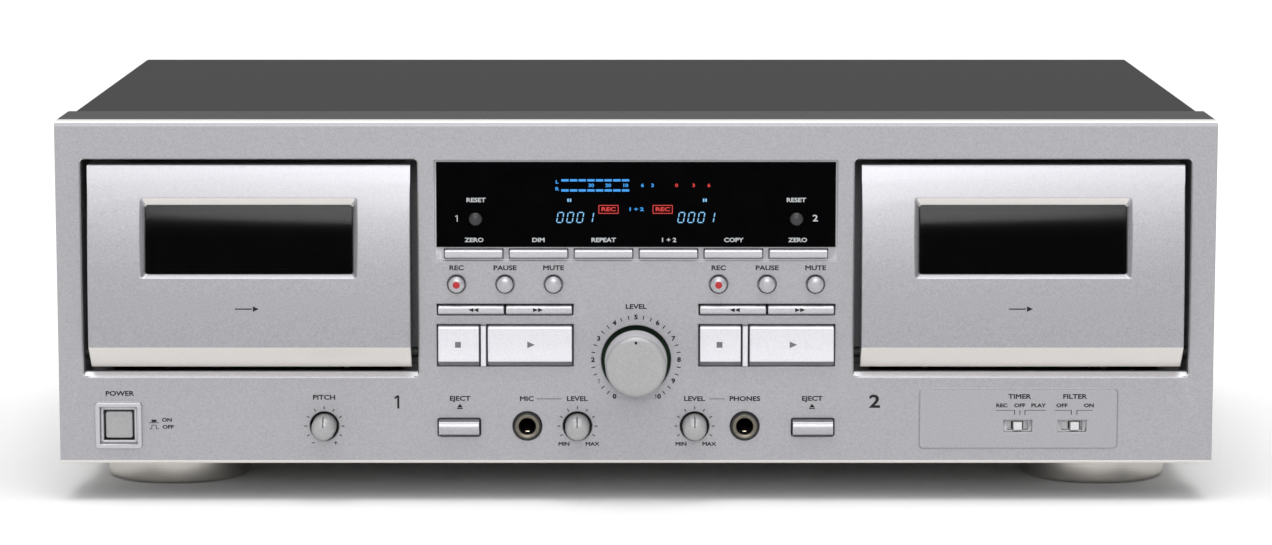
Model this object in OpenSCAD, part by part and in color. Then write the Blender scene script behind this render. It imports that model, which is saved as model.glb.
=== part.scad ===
// Double cassette deck: a full-width component with two front-loading tape transports.
// Front faces -Y, +X is to the right, +Z is up, and the floor under the feet is z = 0.

/* [Case] */
// Width of the front panel
panel_w = 435; // [432:0.5:445]
// Height of the front panel
panel_h = 130.4; // [129.5:0.1:136]
// Thickness of the front panel
panel_t = 3.2; // [3:0.1:3.5]
// Corner radius of the front panel, seen from the front
panel_corner_r = 1.2; // [0.5:0.1:3]
// Rounding along the top front edge of the panel
panel_top_r = 2.6; // [1:0.1:2.8]
// Rounding along the bottom front edge of the panel
panel_bottom_r = 1.6; // [0.8:0.1:2.8]
// Height of the panel's bottom edge above the floor
floor_gap = 14.6; // [10:0.1:25]
// Depth from the panel's front to the back edge of the front frame
frame_depth = 34; // [31:0.5:40]
// Wall of the front frame
frame_wall = 2.5; // [2:0.1:3]
// Depth from the panel's front to the outer face of the rear panel
body_depth = 261.2; // [250:0.1:320]
// Inset of the steel cover behind the panel's two sides
cover_inset = 2.5; // [2:0.1:4]
// Sheet thickness of the cover, tray and rear panel
sheet_t = 1.2; // [0.8:0.1:1.5]
// Outer radius of the cover's two long bends
bend_r = 2; // [1.6:0.1:4]
// Radius of a foot
foot_r = 28; // [18:0.5:32]
// Distance from a foot's middle to the cover's side
foot_inset = 35.7; // [33:0.1:65]
// Distance of the rear feet ahead of the rear panel
rear_foot_inset = 38; // [35:1:80]
// How far a rubber pad stands below its foot
pad_proud = 0.8; // [0.5:0.1:1.5]

/* [Doors] */
// Width of the panel beside a door opening
door_margin = 9.45; // [9:0.05:10.5]
// Width of a door opening
opening_w = 126.1; // [124:0.1:126.5]
// Height of a door opening
opening_h = 82.2; // [81:0.1:85]
// Height of an opening's sill above the panel's bottom edge
sill_z = 33.4; // [33:0.1:36]
// Depth of the sill ledge
sill_depth = 9.5; // [6:0.1:9.5]
// Rise of the sill ledge from front to back
sill_rise = 0.9; // [0:0.1:1.2]
// Corner radius of a door opening
opening_r = 1.4; // [0.5:0.1:3]
// Gap beside a door
door_side_gap = 2.6; // [2:0.1:3.5]
// Gap above a door
door_top_gap = 1.9; // [1.5:0.1:3]
// Gap below a door
door_bottom_gap = 3.2; // [2.8:0.1:4]
// How far a door's lower edge stands proud of the panel
door_proud = 5.5; // [3:0.1:7]
// Radius of a door's convex face
door_face_r = 420; // [250:5:900]
// Height of the sloping lip under a door's face
lip_h = 8.6; // [6:0.1:10]
// Depth of the sloping lip
lip_depth = 8.5; // [7:0.1:9]
// Wall of a door
door_wall = 2.2; // [1.6:0.1:2.6]
// Width of the window recess in a door
recess_w = 81.6; // [80:0.1:86]
// Height of the window recess
recess_h = 30.7; // [28:0.1:32]
// Middle of the window recess above the panel's bottom edge
recess_z = 86.9; // [85:0.1:89]
// Width of the window lens
window_w = 77.4; // [70:0.1:79]
// Height of the window lens
window_h = 25.8; // [22:0.1:27]
// Distance of the lens's middle below the recess's middle
window_drop = 1.05; // [0:0.05:1.2]
// Depth of the recess in front of the lens
recess_depth = 2; // [1.2:0.1:2.4]
// Thickness of the window lens
window_t = 2; // [1.5:0.1:2.2]
// Depth of the hinge axis behind the panel's front
hinge_d = 8.5; // [8.3:0.1:9]
// Height of the hinge axis above the panel's bottom edge
hinge_z = 41.4; // [40.5:0.1:42]
// Radius of a hinge pin
hinge_pin_r = 2; // [1.5:0.1:2.2]

/* [Cassette holders] */
// Width of the cassette pocket
pocket_w = 102.8; // [101:0.1:105]
// Depth of the cassette pocket
pocket_depth = 12.6; // [12:0.1:13]
// Height of the pocket's floor above the panel's bottom edge
pocket_z = 46.9; // [46:0.1:48]
// Wall of the holder
holder_wall = 1.8; // [1.5:0.1:2]

/* [Transports] */
// Distance between the two reel hubs
hub_spacing = 42.5; // [42:0.1:43]
// Height of the hubs above the panel's bottom edge
hub_z = 76.4; // [75:0.1:78]
// Radius of a hub's spindle
spindle_r = 4.6; // [4:0.1:4.9]
// Radius of a hub's seat disc
hub_disc_r = 11; // [8:0.1:13]
// Sideways place of the capstan from the deck's middle
capstan_x = 27; // [25:0.1:28]
// Height of the capstan above the panel's bottom edge
capstan_z = 55.4; // [55:0.1:57]
// Radius of the capstan
capstan_r = 1.2; // [1:0.1:1.5]
// Radius of a flywheel
flywheel_r = 24; // [18:0.1:26]
// Width of a flywheel's rim
flywheel_t = 6; // [5:0.1:7]
// Radius of a drive motor
motor_r = 14; // [12:0.1:16]
// Length of a drive motor
motor_l = 24; // [18:0.1:30]
// Depth of the transport plate's front face
plate_d = 34; // [33.5:0.1:36]
// Thickness of the transport plate
plate_t = 2.5; // [2:0.1:3]
// Thickness of a transport's two cheeks
cheek_t = 2; // [1.6:0.1:2.2]
// Lift of the head bridge between stop and play
bridge_lift = 6; // [4:0.1:6]
// Radius of the pinch roller
pinch_r = 5; // [4:0.1:5]

/* [Keys] */
// Room between a door opening and the key group beside it
group_margin = 7.05; // [6:0.05:9]
// Share of the room between there and the panel's middle that a key group takes
group_share = 0.686; // [0.6:0.001:0.7]
// Bottom of the seek slot above the panel's bottom edge
seek_z = 56.7; // [56:0.1:58]
// Height of the seek slot
seek_h = 4.2; // [3.6:0.1:5]
// Bottom of the stop and play opening above the panel's bottom edge
play_z = 37.2; // [36:0.1:38]
// Height of the stop and play opening
play_h = 16; // [14:0.1:17]
// Width of the stop key's opening
stop_w = 16.4; // [14:0.1:18]
// Width of the rib between stop and play
rib_w = 2.3; // [1.5:0.1:3]
// Height of the round buttons above the panel's bottom edge
round_z = 68.5; // [68:0.1:70]
// Radius of a round button
round_r = 3; // [2.5:0.1:3.4]
// Distance of the outer round buttons from their group's edges
round_first = 7.5; // [6:0.1:9]
// Gap between two function keys
function_gap = 2.57; // [2.2:0.01:4]
// Height of a function key
function_h = 3.3; // [2.8:0.1:3.5]
// Distance of the outer function keys from the ends of the display lens
function_inset = 2.97; // [2:0.01:4]
// Middle of the function keys above the panel's bottom edge
function_z = 80; // [79.8:0.1:80.2]
// Width of an eject button
eject_w = 15.2; // [12:0.1:17]
// Height of an eject button
eject_h = 6; // [5:0.1:7]
// Sideways distance of the eject buttons from the middle
eject_x = 66.7; // [64:0.1:70]
// Height of the eject buttons above the panel's bottom edge
eject_z = 13.9; // [13:0.1:15]
// Width and height of the power button
power_w = 10.3; // [9:0.1:10.6]
// Distance of the power button from the panel's left side
power_margin = 22.3; // [20:0.1:30]
// Height of the power button above the panel's bottom edge
power_z = 14.7; // [14:0.1:16]
// Width of the hole round the power button
power_hole = 14; // [13.6:0.1:14.5]
// Border of the raised frame round that hole
power_border = 1.8; // [1:0.1:3]
// Travel of the small keys
key_travel = 0.8; // [0.4:0.1:1.2]
// Travel of the eject buttons
eject_travel = 3; // [2:0.1:3.4]
// Travel of the power button from on to off
power_travel = 2.5; // [2:0.1:3]

/* [Display] */
// Room between a door opening and the display lens
lens_margin = 7.15; // [6.5:0.05:9]
// Height of the display lens
lens_h = 32; // [30:0.1:32.1]
// Bottom of the display lens above the panel's bottom edge
lens_z = 82.5; // [82.4:0.1:83]
// Distance of the counter reset buttons from the ends of the display lens
reset_margin = 14.6; // [10:0.1:18]
// Height of the counter reset buttons above the panel's bottom edge
reset_z = 93.1; // [91:0.1:100]
// Radius of a counter reset button
reset_r = 2.5; // [2:0.1:3]

/* [Knobs and switches] */
// Radius of the record level knob at its face
level_r = 11.4; // [9:0.1:11.6]
// Radius of the hole round the record level knob
level_hole_r = 13.1; // [12.5:0.1:13.5]
// How far the record level knob stands out of the panel
knob_reach = 16.8; // [10:0.1:22]
// Height of the record level knob above the panel's bottom edge
level_z = 39.7; // [38:0.1:42]
// Radius of a small knob
small_r = 4.45; // [3.5:0.05:4.9]
// Radius of the hole round a small knob
small_hole_r = 5.5; // [5.2:0.1:6]
// How far a small knob stands out of the panel
small_reach = 8.8; // [5:0.1:14]
// Height of the lower row of controls above the panel's bottom edge
row_z = 14.4; // [13.8:0.1:15]
// Sideways place of the pitch knob
pitch_x = -117.6; // [-125:0.1:-112]
// Sideways distance of the two level knobs from the middle
small_x = 22.1; // [18:0.1:24]
// Distance of the switch plate from the panel's right side
plate_margin = 35.9; // [30:0.1:45]
// Width of the raised switch plate
plate_w = 74.7; // [70:0.1:78]
// Height of the raised switch plate
plate_h = 22.7; // [18:0.1:23]
// Middle of the switch plate above the panel's bottom edge
plate_z = 17.25; // [17:0.05:18]
// Distance of the noise reduction switch from the plate's right side
noise_margin = 17; // [12:0.1:20]
// Distance between the timer switch and the noise reduction switch
switch_pitch = 20.5; // [16:0.1:24]
// Width of a switch slot
slot_w = 10.6; // [10:0.1:12]
// Height of a switch slot
slot_h = 4.5; // [4.2:0.1:5.5]
// Width of a switch knob
slider_w = 3.2; // [2.5:0.1:3.6]
// Step between two switch positions
slider_step = 2; // [1.5:0.1:2.2]

/* [Jacks] */
// Sideways distance of the phone jacks from the middle
jack_x = 41; // [38:0.1:44]
// Radius of a jack's bore
jack_bore_r = 3.2; // [3.18:0.01:3.4]
// Radius of a jack's bezel
jack_bezel_r = 5.3; // [4.8:0.1:5.8]
// Depth of a jack's bore behind the panel's front
jack_depth = 32; // [30:0.5:36]

/* [Rear] */
// How far the line sockets stand out of the rear panel
socket_reach = 8; // [7:0.1:10]
// Radius of a line socket's shell
socket_r = 4.15; // [4:0.05:4.3]
// Sideways distance between line sockets
socket_dx = 18; // [14:0.5:24]
// Height between line sockets
socket_dz = 16; // [14:0.5:20]
// Distance of the line sockets from the cover's right side
socket_inset = 65; // [40:1:110]
// Height of the line sockets above the panel's bottom edge
socket_z = 62; // [50:1:90]
// Distance of the power inlet from the cover's left side
inlet_inset = 50; // [30:1:90]
// Height of the power inlet above the panel's bottom edge
inlet_z = 40; // [36:1:80]
// Width of the power inlet's mouth
inlet_w = 15.8; // [15:0.1:17]
// Height of the power inlet's mouth
inlet_h = 8; // [7.5:0.1:9]

/* [Fits] */
// Room round a key or button in its hole
key_clear = 0.5; // [0.3:0.05:0.6]
// Radial room round a turning shaft
run_clear = 0.03; // [0.01:0.01:0.06]
// Room between sheets, boards and seated pieces
fit = 0.2; // [0.1:0.05:0.3]
// Room between parts that pass each other
pass_clear = 0.3; // [0.2:0.05:0.4]
// Film of glue or solder between pieces of one group
bond = 0.05; // [0.03:0.01:0.1]

/* [Hidden] */
$fn = 64;
big_fn = 256;
decks = [1, 2];

// Places across the width, tied to the panel's sides and the door openings
cover_w = panel_w - 2 * cover_inset;
foot_x = cover_w / 2 - foot_inset;
deck_spacing = panel_w - opening_w - 2 * door_margin;
middle_half = (deck_spacing - opening_w) / 2;
keys_x = group_margin - middle_half;
group_w = -keys_x * group_share;
round_pitch = group_w / 2 - round_first;
lens_w = 2 * (middle_half - lens_margin);
function_pitch = (lens_w - 2 * function_inset + function_gap) / 6;
function_w = function_pitch - function_gap;
reset_x = lens_w / 2 - reset_margin;
power_x = power_margin - panel_w / 2;
plate_x = (panel_w - plate_w) / 2 - plate_margin;
noise_x = plate_x + plate_w / 2 - noise_margin;
timer_x = noise_x - switch_pitch;
socket_x = cover_w / 2 - socket_inset;
inlet_x = inlet_inset - cover_w / 2;

// Places along the depth, counted from the panel's front face towards the back
fascia_y = (knob_reach - body_depth - socket_reach) / 2;
behind_panel = panel_t + fit;
flange_t = 1.2;
flange_over = 1;
board_d = 16;
board_t = 1.6;
tact_size = 6;
tact_h = 4.5;
tact_top = board_d - tact_h;
stem_r = 1.4;
lip_over = 4;
// How far a cutting shape runs past a face
cut = 1;

// Door
door_w = opening_w - 2 * door_side_gap;
door_z0 = sill_z + door_bottom_gap;
door_z1 = sill_z + opening_h - door_top_gap;
door_back = 6;
lip_top = [-door_proud, door_z0 + lip_h];
lip_foot = [lip_depth - door_proud, door_z0];
lip_run = (lip_top - lip_foot) / norm(lip_top - lip_foot);
lip_in = [lip_run[1], -lip_run[0]];
face_top = [0, door_z1];
face_run = lip_top - face_top;
face_mid = (lip_top + face_top) / 2;
face_in = [-face_run[1], face_run[0]] / norm(face_run);
face_centre = face_mid + face_in * sqrt(pow(door_face_r, 2) - pow(norm(face_run) / 2, 2));
face_tilt = asin((recess_z - face_centre[1]) / door_face_r);
face_d = face_centre[0] - door_face_r * cos(face_tilt);
window_seat = recess_depth + window_t;
window_ledge = 2.2;
window_frame = 1.2;

// Holder
pocket_d = door_back + holder_wall;
pocket_back = pocket_d + pocket_depth;
holder_lip = 7.4;
holder_lip_t = 1.4;
holder_side_t = 2.6;
holder_stop_w = 11;
holder_stop_h = 3.4;
holder_edge = 0.6;
holder_top = door_z1 - holder_wall;

// Transport
cheek_x = opening_w / 2 + pass_clear;
cheek_out = cheek_x + cheek_t;
frame_z0 = sill_z - 1;
frame_head = 3.8;
frame_z1 = sill_z + opening_h + frame_head;
plate_back = plate_d + plate_t;
hub_shaft_r = 2;
hub_boss_r = 5;
hub_boss = plate_d - 3;
hub_gap = 0.5;
hub_disc_t = 2.5;
hub_collar = [1.4, 1];
spline_h = 1.4;
spline_w = 1.6;
spindle_d = 13.6;
capstan_boss_r = 4;
flywheel_d = plate_back + 6.5;
flywheel_boss = 2;
motor_x = -30;
motor_z = 60.4;
motor_d = flywheel_d + 5;
motor_post_r = 2;
motor_post_x = 10;
pulley_r = 4;
belt_t = 0.8;
belt_w = 3;
bridge_w = 66;
bridge_z = 35.4;
bridge_plate_d = 25;
bridge_t = 2;
shelf_d = 10.2;
rail_t = 2;
rail_h = 19;
leg_w = 10;
leg_t = 4;
bridge_boss_x = 22;
bridge_boss_r = 3;
pinch_z = capstan_z - capstan_r - pass_clear - pinch_r - bridge_lift;
pinch_d = [11.2, 19.4];
ear_t = 0.7;
ear_w = 6;

// Case
cover_in = cover_w / 2 - sheet_t;
tray_half = cover_in - fit;
tray_z = frame_wall;
tray_top = tray_z + sheet_t;
tray_front = 8;
frame_lip_t = 1.5;
tray_flange = 20;
rear_flange = 12;
rear_in = body_depth - sheet_t;
cover_lip = 11;
foot_back = 0.6;
foot_d = frame_depth + foot_back + foot_r;
rear_foot_d = body_depth - rear_foot_inset;
screw_r = 1.5;
screw_head_r = 3;
screw_head_t = 1.6;
side_screw_z = tray_top + 10;
side_screw_d = [frame_depth + 25, body_depth - 35];
rear_screw_inset = 63.8;
rear_screw_x = [for (s = [-1, 0, 1]) s * (cover_in - rear_screw_inset)];
tray_screws = [70, tray_half - 18.6];
tray_screw_x = [for (s = [-1, 1], x = tray_screws) s * x];
tray_screw_z = tray_top + 6;
cover_screw_z = panel_h - cover_lip / 2;
standoff_h = 6;
standoff_r = 3;
main_x = [-60, tray_half - 8.6];
main_d = [92, body_depth - 13];
standoff_edge = 8;
standoffs = [for (x = [main_x[0] + standoff_edge, (main_x[0] + main_x[1]) / 2, main_x[1] - standoff_edge],
                  d = [main_d[0] + standoff_edge, main_d[1] - standoff_edge]) [x, d]];
boss_z = row_z + 1;
boss_x = [-90, 90, power_x + 35, panel_w / 2 - 25.5];
board_bosses = concat([for (x = boss_x) [x, boss_z]], [[0, round_z]]);

function around(c, w) = [c - w / 2, c + w / 2];
function side(k) = k == 1 ? -1 : 1;
function deck_x(k) = side(k) * deck_spacing / 2;
function group_x(k) = k == 1 ? keys_x : -keys_x - group_w;
function round_x(k, i) = group_x(k) + round_first + i * round_pitch;
function function_x(i) = (i - 3.5) * function_pitch;
seek_gap = 0.7;
seek_w = (group_w - 2 * key_clear - seek_gap) / 2;
function seek_x(k, i) = group_x(k) + key_clear + seek_w / 2 + i * (seek_w + seek_gap);
function stop_x(k) = group_x(k) + stop_w / 2;
play_w = group_w - stop_w - rib_w;
function play_x(k) = group_x(k) + group_w - play_w / 2;
small_knobs = [[pitch_x, row_z], [-small_x, row_z], [small_x, row_z]];
tacts = concat(
    [for (i = [1:6]) [function_x(i), function_z]],
    [for (s = [-1, 1]) [s * reset_x, reset_z]],
    [for (k = decks, i = [0:2]) [round_x(k, i), round_z]],
    [for (k = decks, i = [0, 1]) [seek_x(k, i), seek_z + seek_h / 2]],
    [for (k = decks) [stop_x(k), play_z + play_h / 2]],
    [for (k = decks) [play_x(k), play_z + play_h / 2]],
    [for (s = [-1, 1]) [s * eject_x, eject_z]]);

// The frame of the front panel: y is depth behind its face and z height above its bottom edge
module unit() translate([0, fascia_y, floor_gap]) children();
module along_y(d0, d1) translate([0, d1, 0]) rotate([90, 0, 0]) linear_extrude(d1 - d0) children();
module along_x(x0, x1) translate([x0, 0, 0]) rotate([90, 0, 90]) linear_extrude(x1 - x0) children();
module block(x, d, z) translate([x[0], d[0], z[0]]) cube([x[1] - x[0], d[1] - d[0], z[1] - z[0]]);
module rod(x, z, r, d0, d1) translate([x, d1, z]) rotate([90, 0, 0]) cylinder(r = r, h = d1 - d0);
module turned(x, z) translate([x, 0, z]) rotate([90, 0, 0]) rotate_extrude() children();
module round_rect(w, h, r) {
    square([w - 2 * r, h], center = true);
    square([w, h - 2 * r], center = true);
    for (x = [-1, 1], y = [-1, 1]) translate([x * (w / 2 - r), y * (h / 2 - r)]) circle(r);
}
module pane(x, z, w, h, r, d0, d1) along_y(d0, d1) translate([x, z]) round_rect(w, h, r);

// Section of a slab with its two front edges rounded, depth by height
module slab_section(t, h, top_r, bottom_r) intersection() {
    square([t, h]);
    union() {
        translate([0, bottom_r]) square([t, h - bottom_r - top_r]);
        translate([bottom_r, 0]) square([t, h / 2]);
        translate([top_r, h / 2]) square([t, h / 2]);
        translate([bottom_r, bottom_r]) circle(bottom_r);
        translate([top_r, h - top_r]) circle(top_r);
    }
}

power_outer = power_hole + 2 * power_border;
power_raise = 1.2;
plate_raise = 0.4;
recess_floor = 1;
display_edge = 0.7;
display_z0 = function_z - function_h / 2 - 1;
display_z1 = lens_z + lens_h + display_edge;
slot_floor = 1.4;
slot_room = slider_w + 2 * slider_step + 2 * pass_clear;
slot_through_h = slot_h - 1;
through = [-2, panel_t + cut];
sill_t = 1.6;
power_frame_r = 1.2;
plate_r = 1.5;
boss_r = 2.6;
eject_hole_r = 0.8;

module front_panel() color("silver") difference() {
    union() {
        intersection() {
            along_x(-panel_w / 2, panel_w / 2) slab_section(panel_t, panel_h, panel_top_r, panel_bottom_r);
            pane(0, panel_h / 2, panel_w, panel_h, panel_corner_r, -cut, panel_t + cut);
        }
        for (k = decks) translate([deck_x(k), 0, 0]) along_x(-opening_w / 2, opening_w / 2)
            polygon([[0, sill_z - sill_t], [sill_depth, sill_z - sill_t + sill_rise],
                     [sill_depth, sill_z + sill_rise], [0, sill_z]]);
        pane(power_x, power_z, power_outer, power_outer, power_frame_r, -power_raise, panel_t / 2);
        pane(plate_x, plate_z, plate_w, plate_h, plate_r, -plate_raise, panel_t / 2);
        for (p = board_bosses) rod(p[0], p[1], boss_r, panel_t / 2, board_d);
    }
    for (k = decks) {
        intersection() {
            pane(deck_x(k), sill_z + opening_h / 2, opening_w, opening_h, opening_r, -cut, panel_t + cut);
            along_x(-panel_w, panel_w) polygon([[-cut, sill_z], [0, sill_z], [sill_depth, sill_z + sill_rise],
                [sill_depth, panel_h], [-cut, panel_h]]);
        }
        for (i = [0:2]) rod(round_x(k, i), round_z, round_r + key_clear, through[0], through[1]);
        block([group_x(k), group_x(k) + group_w], through, [seek_z, seek_z + seek_h]);
        block([group_x(k), group_x(k) + stop_w], through, [play_z, play_z + play_h]);
        block(around(play_x(k), play_w), through, [play_z, play_z + play_h]);
        pane(side(k) * eject_x, eject_z, eject_w + 2 * key_clear, eject_h + 2 * key_clear, eject_hole_r,
             through[0], through[1]);
        rod(side(k) * jack_x, row_z, jack_bezel_r + fit, through[0], through[1]);
    }
    block(around(0, lens_w + 2 * display_edge), [-cut, recess_floor], [display_z0, display_z1]);
    block(around(0, lens_w + fit), through, around(lens_z + lens_h / 2, lens_h + fit));
    for (i = [1:6]) block(around(function_x(i), function_w + 2 * pass_clear), through,
                          around(function_z, function_h + 2 * pass_clear));
    rod(0, level_z, level_hole_r, through[0], through[1]);
    for (p = small_knobs) rod(p[0], p[1], small_hole_r, through[0], through[1]);
    block(around(power_x, power_hole), through, around(power_z, power_hole));
    for (x = [timer_x, noise_x]) {
        block(around(x, slot_w), [-cut, slot_floor], around(row_z, slot_h));
        block(around(x, slot_room), through, around(row_z, slot_through_h));
    }
}

frame_flange_w = 4;
frame_flange_t = 2;
frame_lip_z = 6;
lip_half = cover_in - fit;
lip_z1 = panel_h - sheet_t - fit;

module front_frame() color("dimgray") {
    difference() {
        pane(0, panel_h / 2, panel_w, panel_h, panel_corner_r, panel_t, frame_depth);
        block(around(0, panel_w - 2 * frame_flange_w), [0, frame_depth],
              [frame_flange_w, panel_h - frame_flange_w]);
        block(around(0, panel_w - 2 * frame_wall), [panel_t + frame_flange_t, frame_depth + cut],
              [frame_wall, panel_h - frame_wall]);
    }
    difference() {
        union() {
            block(around(0, panel_w - frame_wall), [frame_depth - lip_over, frame_depth],
                  [frame_lip_z, panel_h - frame_wall / 2]);
            block([-lip_half, lip_half], around(frame_depth, 2 * lip_over), [frame_lip_z, lip_z1]);
        }
        block(around(0, 2 * (lip_half - frame_lip_t)), around(frame_depth, 2 * (lip_over + cut)),
              [0, lip_z1 - frame_lip_t]);
    }
}

cover_d0 = frame_depth + fit;
cover_d1 = body_depth + sheet_t;

module top_cover() color("#4c4a4a") difference() {
    union() {
        along_y(cover_d0, cover_d1) difference() {
            round_rect(cover_w, 2 * panel_h, bend_r);
            round_rect(cover_w - 2 * sheet_t, 2 * (panel_h - sheet_t), bend_r - sheet_t);
            translate([-cover_w, -2 * panel_h + tray_z]) square([2 * cover_w, 2 * panel_h]);
        }
        block(around(0, cover_w - sheet_t), [body_depth, cover_d1],
              [panel_h - cover_lip, panel_h - sheet_t / 2]);
    }
    for (s = [-1, 1], d = side_screw_d) translate([s * cover_w / 2, d, side_screw_z]) rotate([0, 90, 0])
        cylinder(r = screw_r + fit, h = 4 * sheet_t, center = true);
    for (x = rear_screw_x) rod(x, cover_screw_z, screw_r + fit, rear_in, cover_d1 + cut);
}

side_flange_d0 = frame_depth + lip_over + 0.5;
tray_corner = 5;
core_inset = 63.6;
core_back = 71;
core_x = core_inset - tray_half;
core_d = body_depth - core_back;
vent_count = 9;
vent_ahead = 80;
vent_l = 40;
vent_pitch = 8;
vent_w = 3;
vent_d = [core_d - vent_ahead, core_d - vent_ahead + vent_l];

module chassis_tray() color("lightgray") difference() {
    union() {
        block([-tray_half, tray_half], [tray_front, body_depth], [tray_z, tray_top]);
        for (s = [0, 1]) mirror([s, 0, 0]) block([tray_half - sheet_t, tray_half],
            [side_flange_d0, rear_in - fit], [tray_z, tray_top + tray_flange]);
        block(around(0, 2 * (tray_half - tray_corner)), [rear_in - sheet_t, rear_in],
              [tray_z, tray_top + rear_flange]);
        for (p = standoffs) translate([p[0], p[1], tray_z])
            cylinder(r = standoff_r, h = sheet_t + standoff_h);
    }
    for (s = [-1, 1], d = side_screw_d) translate([s * tray_half, d, side_screw_z]) rotate([0, 90, 0])
        cylinder(r = screw_r + run_clear, h = 4 * sheet_t, center = true);
    for (x = tray_screw_x) rod(x, tray_screw_z, screw_r + run_clear, rear_in - 2 * sheet_t, body_depth);
    for (i = [0:vent_count - 1]) block(around(core_x + i * vent_pitch, vent_w), vent_d, [0, tray_top + cut]);
}

inlet_wall = 2;
inlet_body_w = inlet_w + 2 * inlet_wall;
inlet_body_h = inlet_h + 2 * inlet_wall;
socket_collar_r = socket_r + 1.35;

module at_sockets() for (x = [-1, 1], z = [-1, 1])
    translate([socket_x + x * socket_dx / 2, 0, socket_z + z * socket_dz / 2]) children();

module rear_panel() color("dimgray") difference() {
    block([-tray_half, tray_half], [rear_in, body_depth], [tray_top, lip_z1]);
    for (x = tray_screw_x) rod(x, tray_screw_z, screw_r + fit, rear_in - cut, body_depth + cut);
    for (x = rear_screw_x) rod(x, cover_screw_z, screw_r + run_clear, rear_in - cut, body_depth + cut);
    at_sockets() rod(0, 0, socket_collar_r + fit, rear_in - cut, body_depth + cut);
    block(around(inlet_x, inlet_body_w + 2 * fit), around(rear_in, 4 * sheet_t),
          around(inlet_z, inlet_body_h + 2 * fit));
}

lens_d = 0.4;
lens_flange = 1.6;
lens_flange_t = 1;

module display_lens() color("#141418") difference() {
    union() {
        block([-lens_w / 2, lens_w / 2], [lens_d, panel_t + lens_flange_t], [lens_z, lens_z + lens_h]);
        block(around(0, lens_w + 2 * lens_flange), [panel_t, panel_t + lens_flange_t],
              [lens_z, lens_z + lens_h + lens_flange]);
    }
    for (s = [-1, 1]) rod(s * reset_x, reset_z, reset_r + pass_clear, -cut, panel_t + lens_flange_t + cut);
}

pad_t = 3;
foot_rim = 4;
pad_r = foot_r - foot_rim;

module feet() color("darkgray") for (x = [-foot_x, foot_x], d = [foot_d, rear_foot_d])
    translate([x, d, -floor_gap]) {
        difference() {
            translate([0, 0, pad_proud]) cylinder(r = foot_r, h = floor_gap + tray_z - pad_proud);
            translate([0, 0, -cut]) cylinder(r = pad_r + fit, h = pad_t + bond + cut);
        }
        cylinder(r = pad_r, h = pad_t);
    }

screw_l = 4;
cross_l = 4;
cross_w = 0.8;

module screw() {
    translate([0, 0, -screw_l]) cylinder(r = screw_r, h = screw_l + screw_head_t / 2);
    difference() {
        cylinder(r = screw_head_r, h = screw_head_t);
        for (a = [0, 90]) rotate(a) translate([0, 0, screw_head_t])
            cube([cross_l, cross_w, screw_head_t], center = true);
    }
}

module screws() color("#3a3a3c") {
    for (s = [-1, 1], d = side_screw_d) translate([s * cover_w / 2, d, side_screw_z])
        rotate([0, s * 90, 0]) screw();
    for (x = rear_screw_x) translate([x, cover_d1, cover_screw_z]) rotate([-90, 0, 0]) screw();
    for (x = tray_screw_x) translate([x, body_depth, tray_screw_z]) rotate([-90, 0, 0]) screw();
}

jack_body_w = 13;
jack_body_h = 15;
jack_wall = 2;
jack_proud = 0.8;

module phone_jacks() color("#202022") for (s = [-1, 1]) difference() {
    union() {
        rod(s * jack_x, row_z, jack_bezel_r, -jack_proud, behind_panel);
        block(around(s * jack_x, jack_body_w), [behind_panel, jack_depth + jack_wall],
              around(row_z, jack_body_h));
    }
    rod(s * jack_x, row_z, jack_bore_r, -jack_proud - cut, jack_depth);
}

pot_d = 6.2;
level_pot_r = 9;
level_shaft_r = 3;
small_pot_w = 10;
small_shaft_r = 2;
shaft_end = board_d - 2.5;
pot_bore_end = board_d - 2;
slider_d = behind_panel + flange_t;
switch_body_h = 8;
power_face = 1.2;
power_guide = 5.3;
power_over = 1;
power_back = power_face + power_travel + power_guide;
tact_cap = 1;
tact_cap_r = 1.7;
tube_margin = 26.8;
tube_w = lens_w - 2 * tube_margin;
tube_z0 = lens_z + 4;
tube_z1 = lens_z + lens_h - 4;
tube_d = 8;
board_half = deck_spacing / 2 - cheek_out - 1;
strip_margin = 12.5;
strip_half = panel_w / 2 - strip_margin;
strip_z0 = tray_top + 2;
strip_z1 = sill_z - 2.4;
board_z1 = display_z1 + 3;

module key_board() {
    color("darkgreen") difference() {
        union() {
            block([-board_half, board_half], [board_d, board_d + board_t], [strip_z0, board_z1]);
            block([-strip_half, strip_half], [board_d, board_d + board_t], [strip_z0, strip_z1]);
        }
        for (s = [-1, 1]) block(around(s * jack_x, jack_body_w + 2 * pass_clear),
            around(board_d, 4 * board_t), around(row_z, jack_body_h + 2 * pass_clear));
    }
    color("#2a2a2c") {
        for (p = tacts) {
            block(around(p[0], tact_size), [tact_top + tact_cap, board_d - bond], around(p[1], tact_size));
            rod(p[0], p[1], tact_cap_r, tact_top, tact_top + tact_cap + fit);
        }
        difference() {
            rod(0, level_z, level_pot_r, pot_d, board_d - bond);
            rod(0, level_z, level_shaft_r + run_clear, pot_d - cut, pot_bore_end);
        }
        for (p = small_knobs) difference() {
            block(around(p[0], small_pot_w), [pot_d, board_d - bond], around(p[1], small_pot_w));
            rod(p[0], p[1], small_shaft_r + run_clear, pot_d - cut, pot_bore_end);
        }
        for (x = [timer_x, noise_x])
            block(around(x, slot_w), [slider_d + fit, board_d - bond], around(row_z, switch_body_h));
        difference() {
            block(around(power_x, power_hole - 2 * fit), [recess_floor, board_d - bond],
                  around(power_z, power_hole - 2 * fit));
            block(around(power_x, power_w + 2 * pass_clear), [0, power_back + power_over + pass_clear],
                  around(power_z, power_w + 2 * pass_clear));
        }
    }
    color("#30383a") block([-tube_w / 2, tube_w / 2], [tube_d, board_d - bond], [tube_z0, tube_z1]);
}

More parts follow.
